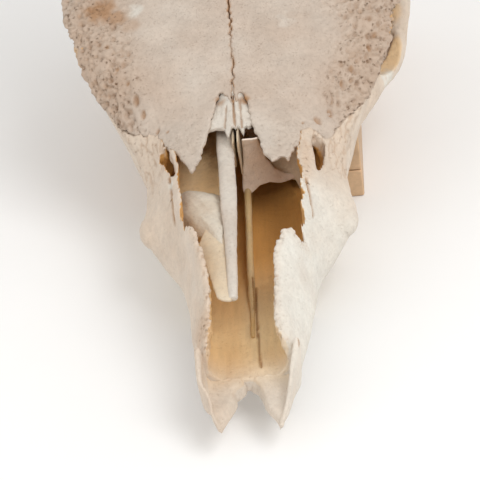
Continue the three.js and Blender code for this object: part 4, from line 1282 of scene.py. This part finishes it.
class SKULL_OT_braincase(bpy.types.Operator):
    """Builds the bones of the braincase and the back of the palate"""

    bl_idname = "skull.braincase"
    bl_label = "Braincase"

    def execute(self, context):
        grid = grids()[1]
        half, top = SUTURE / 2, 100

        def part(name, node_name, body, areas, seed):
            mesh = carve(body, [("INTERSECT", area) for area in areas], grid, 1)
            finish(mesh, name, [node_name], "bone", "bone", seed=seed)

        for sign, side in SIDES:
            area = box(*span(sign, BASE_X), TEMPORAL_Y + half, NUCHAL_Y - half, 0, top)
            part(f"temporal bone {side}", f"temporal_{side}", form("low"), [area], 14)
        wide, broad, narrow = (x - SUTURE for x in (CHEEK_X, PALATE_X, BASE_X))
        area = box(-broad, broad, PALATE_Y, SPHENOID_Y, 0, PALATE_Z)
        part("palatine bones", "palatine", form("low"), [area], 15)
        area = joined(box(-wide, wide, SPHENOID_Y + SUTURE, TEMPORAL_Y - half, 0, top),
                      box(-narrow, narrow, TEMPORAL_Y - 1, BASE_Y, 0, top))
        part("sphenoid bone", "sphenoid", form("low"), [area], 16)
        area = box(-FAR, FAR, NUCHAL_Y + half, BEHIND - 10, 0, HIGH)
        back = carve(form("rest"), [("INTERSECT", area)])
        area = box(-narrow, narrow, BASE_Y + SUTURE, NUCHAL_Y + half, 0, top)
        base = carve(form("low"), [("INTERSECT", area)])
        part("occipital bone", "occipital", joined(back, base), [], 17)
        area = box(-FAR, FAR, CORONAL_Y - 32, NUCHAL_Y - half, 60, HIGH)
        part("parietal bone", "parietal", form("rest"), [above_line(), area], 18)
        return {"FINISHED"}


def moved(points, y=0.0, z=0.0):
    """Moves of all points along y and z, as rows of x, y, z."""
    still = 0 * points[:, 0]
    return np.stack([still, still + y, still + z], axis=1)


def arched(p):
    return moved(p, z=-0.03 * (p[:, 0] + 9) ** 2)


def sunk(p):
    """Lower away from the middle, with fine ripples along the stubs."""
    away = ease(1.4, 7.5, np.abs(p[:, 0] + 1.8)) * (0.5 + 1.1 * ease(174, 190, p[:, 1]))
    return moved(p, z=-0.9 - 1.2 * away + 0.5 * rough(p * [1.0, 0.2, 0.2], 1.6, 62, 2))


def bowed(p):
    return moved(p, y=0.035 * (p[:, 0] - 3) ** 2 - 0.02 * (p[:, 2] - 52) ** 2 + 1.5)


def folded(p):
    """Soft folds along the scroll."""
    along = np.stack([p[:, 0] + 0.4 * p[:, 1], 0.12 * p[:, 1], 0.3 * p[:, 2]], 1)
    return moved(p, z=-0.8 + 0.9 * rough(along, 7, 63, 2) + 0.7 * rough(along, 2.6, 64, 2))


class SKULL_OT_nose(bpy.types.Operator):
    """Builds the broken nasal bone and the thin plates inside the nose"""

    bl_idname = "skull.nose"
    bl_label = "Nose"

    def execute(self, context):
        grid = grids()[2]
        sheet = plan(ragged(NASAL_SHEET_TIP, 0.8, 0.3, 4, 1) + NASAL_SHEET, 0, 1.5)
        sheet.transform(Matrix.Translation((0, 0, 40.3)) @ Matrix.Rotation(np.radians(6.8), 4, "X"))
        stubs = carve(form("whole"), [("INTERSECT", plan(NASAL_STUBS, 60, HIGH)),
                                      ("DIFFERENCE", under_skin(150))])
        vomer = joined(rod(VOMER_RIDGE), side_on(VOMER_WALL, 0.7, 2.1))
        septum = joined(side_on(SEPTUM_RIGHT, -3.3, -2.1), side_on(SEPTUM_LEFT, -0.9, 0.3),
                        side_on(SEPTUM_BRIDGE, -2.8, 0))
        front_plate = prism(FRONT_PLATE, 166.2, 167.6, (0, 2, 1))
        back_plate = prism(BACK_PLATE, 178, 179.3, (0, 2, 1))
        # Body, passes of smoothing, name, node, colour, slot, tone, seed and bend
        for mesh, passes, name, node_name, colour, slot, tone, seed, warp in (
            (rod(NASAL_STRIP, 24, 70), 1, "nasal bone", "nasal_right", "plate", "bone", 0.3, 21, None),
            (sheet, 2, "nasal sheet", "nasal_right", "cream", "bone", 0.2, 27, arched),
            (stubs, 1, "stubs of the nasal bones", "nasal_stubs", "plate", "bone", 0.5, 22, sunk),
            (vomer, 1, "vomer ridge", "vomer", "tan", "inner_bone", 0.1, 23, None),
            (septum, 1, "septum strips", "septum", "tan", "inner_bone", 0.5, 24, None),
            (front_plate, 2, "left turbinate", "turbinate_left", "pink", "inner_bone", 0.2, 25, bowed),
            (back_plate, 2, "left back plate", "turbinate_left", "cream", "inner_bone", 0.3, 28, None),
            (shell(SCROLL, 1.6), 1, "right turbinate", "turbinate_right", "cream", "inner_bone", 0.66, 26,
             folded),
            (shell(SIDE_SHEET, 1.4), 1, "right side sheet", "turbinate_right", "amber", "inner_bone", 0.1,
             29, None),
        ):
            finish(carve(mesh, [], grid, passes), name, [node_name], colour, slot, warp=warp, seed=seed,
                   tone=tone, inner=0)
        return {"FINISHED"}


class SKULL_OT_horns(bpy.types.Operator):
    """Builds the two ringed horn sheaths"""

    bl_idname = "skull.horns"
    bl_label = "Horns"

    def execute(self, context):
        h = HORN
        depth = context.scene.skull_sizes.ring_depth
        wobble = np.random.default_rng(41).uniform(-1, 1, 64)

        def swell(t, angle):
            left = (h["smooth"] - t) / h["smooth"]
            if left < 0:
                return 1 + 0 * angle
            turn = 2 * np.pi * h["rings"] * t / h["ringed"] + 0.5 * np.sin(angle) + wobble[int(t * 63)] * 0.25
            wave = np.clip(np.sin(turn), -0.4, 1) ** 3
            return 1 - depth * 0.4 + depth * (wave + 0.25 * np.sin(turn * 3 + 1)) * left

        for sign, side in SIDES:
            socket = rod(on_horn(sign, HORN_SOCKET), 48, 20)
            mesh = carve(rod(on_horn(sign, HORN_SHEATH), 96, 520, swell), [("DIFFERENCE", socket)])
            finish(mesh, f"horn sheath {side}", [f"horn_{side}"], "horn", "horn", horn_skin, seed=30 + sign)
        return {"FINISHED"}


def horn_skin(points, normals, seed=30):
    push = rough(points, 6.0, seed) * 0.25 - 0.25
    along = rough(points * np.array([1, 1, 0.08]), 1.6, seed + 2, 2) * 0.16
    # Faces that look down, towards the foot of the horn, which are painted paler.
    downward_faces = np.clip(-normals[:, 2] * 1.6, 0, 1) * ease(620, 300, points[:, 2])
    return push + along, {"rugose": downward_faces, "inner": 0 * downward_faces, "stain": 0 * downward_faces, "tone": 0 * downward_faces}


class SKULL_OT_cradle(bpy.types.Operator):
    """Builds the wooden plinth, the block under the braincase and its two arms"""

    bl_idname = "skull.cradle"
    bl_label = "Cradle"

    def execute(self, context):
        b = BLOCK
        low, front = b["plinth"] + SUTURE, (b["front"], b["rest"] - SUTURE)
        boards = {
            "plinth": (b["low"], b["high"], b["front"], b["back"], 0, b["plinth"]),
            "block": (b["low"], b["high"], b["rest"], b["back"], low, b["height"]),
            "rail_left": (b["high"] - b["rail"], b["high"], *front, low, b["height"]),
            "rail_right": (b["low"], b["low"] + b["rail"], *front, low, b["height"]),
        }
        for name, corners in boards.items():
            label = name.replace("_", " ")
            finish(board(corners), f"cradle {label}", [f"stand_{name}"], "wood", "wood", worn)
        return {"FINISHED"}


def board(corners):
    """A board with rounded edges, meshed finely enough to carry wear."""
    x0, x1, y0, y1, z0, z1 = corners
    half = np.array([x1 - x0, z1 - z0]) / 2
    soft = 1.0
    angle = np.linspace(0, np.pi / 2, 5)
    corner = [[half[0] - soft + soft * np.cos(a), half[1] - soft + soft * np.sin(a)] for a in angle]
    outline = corner + [[-u, v] for u, v in corner[::-1]] + [[-u, -v] for u, v in corner]
    outline += [[u, -v] for u, v in corner[::-1]]
    outline = np.array(outline)
    dense = []
    for a, b in zip(outline, np.roll(outline, -1, 0)):
        count = max(1, int(np.linalg.norm(b - a) / 2.0))
        dense += [a + (b - a) * i / count for i in range(count)]
    dense = np.array(dense)
    ys = np.concatenate([y0 + soft * (1 - np.cos(angle)), np.arange(y0 + 3, y1 - 3, 2.0),
                         y1 - soft * (1 - np.cos(angle[::-1]))])
    inset = np.concatenate([soft * (1 - np.sin(angle)), np.zeros(len(ys) - 10),
                            soft * (1 - np.sin(angle[::-1]))])
    rings = []
    for y, cut in zip(ys, inset):
        ring = dense * (half - cut) / half
        rings.append(np.stack([ring[:, 0] + (x0 + x1) / 2, y + 0 * ring[:, 0],
                               ring[:, 1] + (z0 + z1) / 2], axis=1))
    return loft(rings)


def worn(points, normals, seed=50):
    corner = 1 - ease(0.75, 0.98, np.abs(normals).max(axis=1))
    push = -0.05 + rough(points, 7, seed) * 0.05 - corner * ease(-0.1, 0.6, rough(points, 5, seed + 3)) * 0.3
    push = push * (points[:, 2] > 0.6)
    return push, {"edge": corner, "inner": 0 * corner, "stain": 0 * corner, "rugose": 0 * corner}


class SKULL_OT_stage(bpy.types.Operator):
    """Sets the floor, the lights, the surroundings and the camera"""

    bl_idname = "skull.stage"
    bl_label = "Stage"

    def execute(self, context):
        scene = context.scene
        stage = scene.skull_stage
        floor_material, tree, shader = start_material("Floor", 0.9)
        grain = use(tree, "Bone Grain", Size=0.2)
        pale = shade(scene.skull_colours.floor)
        mottle = ramp(tree, grain.outputs[0], [(0.2, 0.97), (0.8, 1.0)])
        tree.links.new(blend(tree, 1.0, pale, mottle, "MULTIPLY"), shader.inputs["Base Color"])
        floor = bpy.data.objects.new("floor", plan([[-6, -6], [6, -6], [6, 6], [-6, 6]], -0.02, -0.0002))
        floor.data.materials.append(floor_material)
        scene.collection.objects.link(floor)
        world = bpy.data.worlds.new("surroundings")
        world.use_nodes = True
        world.node_tree.nodes["Background"].inputs[0].default_value = SKY
        world.node_tree.nodes["Background"].inputs[1].default_value = stage.sky
        scene.world = world
        scene.view_settings.view_transform = "Standard"
        for name, lit, power in (("key", KEY_LAMP, stage.key), ("fill", FILL_LAMP, stage.fill)):
            light = bpy.data.lights.new(name, "AREA")
            light.size = lit["size"]
            light.energy = power
            lamp = bpy.data.objects.new(name, light)
            lamp.location = lit["place"]
            lamp.rotation_mode = "QUATERNION"
            lamp.rotation_quaternion = (LAMP_AIM - Vector(lit["place"])).to_track_quat("-Z", "Y")
            scene.collection.objects.link(lamp)
        camera = bpy.data.objects.new("camera", bpy.data.cameras.new("camera"))
        camera.data.sensor_width = 36.0
        camera.data.lens = stage.lens
        camera.data.clip_start, camera.data.clip_end = 0.1, 30.0
        turn = Matrix((CAMERA_RIGHT, CAMERA_UP, CAMERA_BACK)).transposed().to_4x4()
        eye = (EYE + OFFSET) * MM
        camera.matrix_world = Matrix.Translation(eye.tolist()) @ turn
        scene.collection.objects.link(camera)
        scene.camera = camera
        return {"FINISHED"}


STEPS = (SKULL_OT_frontals, SKULL_OT_face, SKULL_OT_cheeks, SKULL_OT_braincase, SKULL_OT_nose,
         SKULL_OT_horns, SKULL_OT_cradle, SKULL_OT_stage)


class SKULL_PT_panel(bpy.types.Panel):
    """Lists the settings and the pieces"""

    bl_label = "Waterbuck Skull"
    bl_idname = "SKULL_PT_panel"
    bl_space_type = "VIEW_3D"
    bl_region_type = "UI"
    bl_category = "Skull"

    def draw(self, context):
        scene = context.scene
        for settings in (scene.skull_sizes, scene.skull_colours, scene.skull_stage):
            for key in settings.bl_rna.properties.keys():
                if key not in ("rna_type", "name"):
                    self.layout.prop(settings, key)
        for step in STEPS:
            self.layout.operator(step.bl_idname)


CLASSES = (SkullSizes, SkullColours, SkullStage, *STEPS, SKULL_PT_panel)


def register():
    for item in CLASSES:
        bpy.utils.register_class(item)
    bpy.types.Scene.skull_sizes = bpy.props.PointerProperty(type=SkullSizes)
    bpy.types.Scene.skull_colours = bpy.props.PointerProperty(type=SkullColours)
    bpy.types.Scene.skull_stage = bpy.props.PointerProperty(type=SkullStage)


def unregister():
    del bpy.types.Scene.skull_stage
    del bpy.types.Scene.skull_colours
    del bpy.types.Scene.skull_sizes
    for item in reversed(CLASSES):
        bpy.utils.unregister_class(item)


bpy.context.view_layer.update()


def main():
    register()
    for step in STEPS:
        group_name, action = step.bl_idname.split(".")
        getattr(getattr(bpy.ops, group_name), action)()


if __name__ == "__main__":
    main()
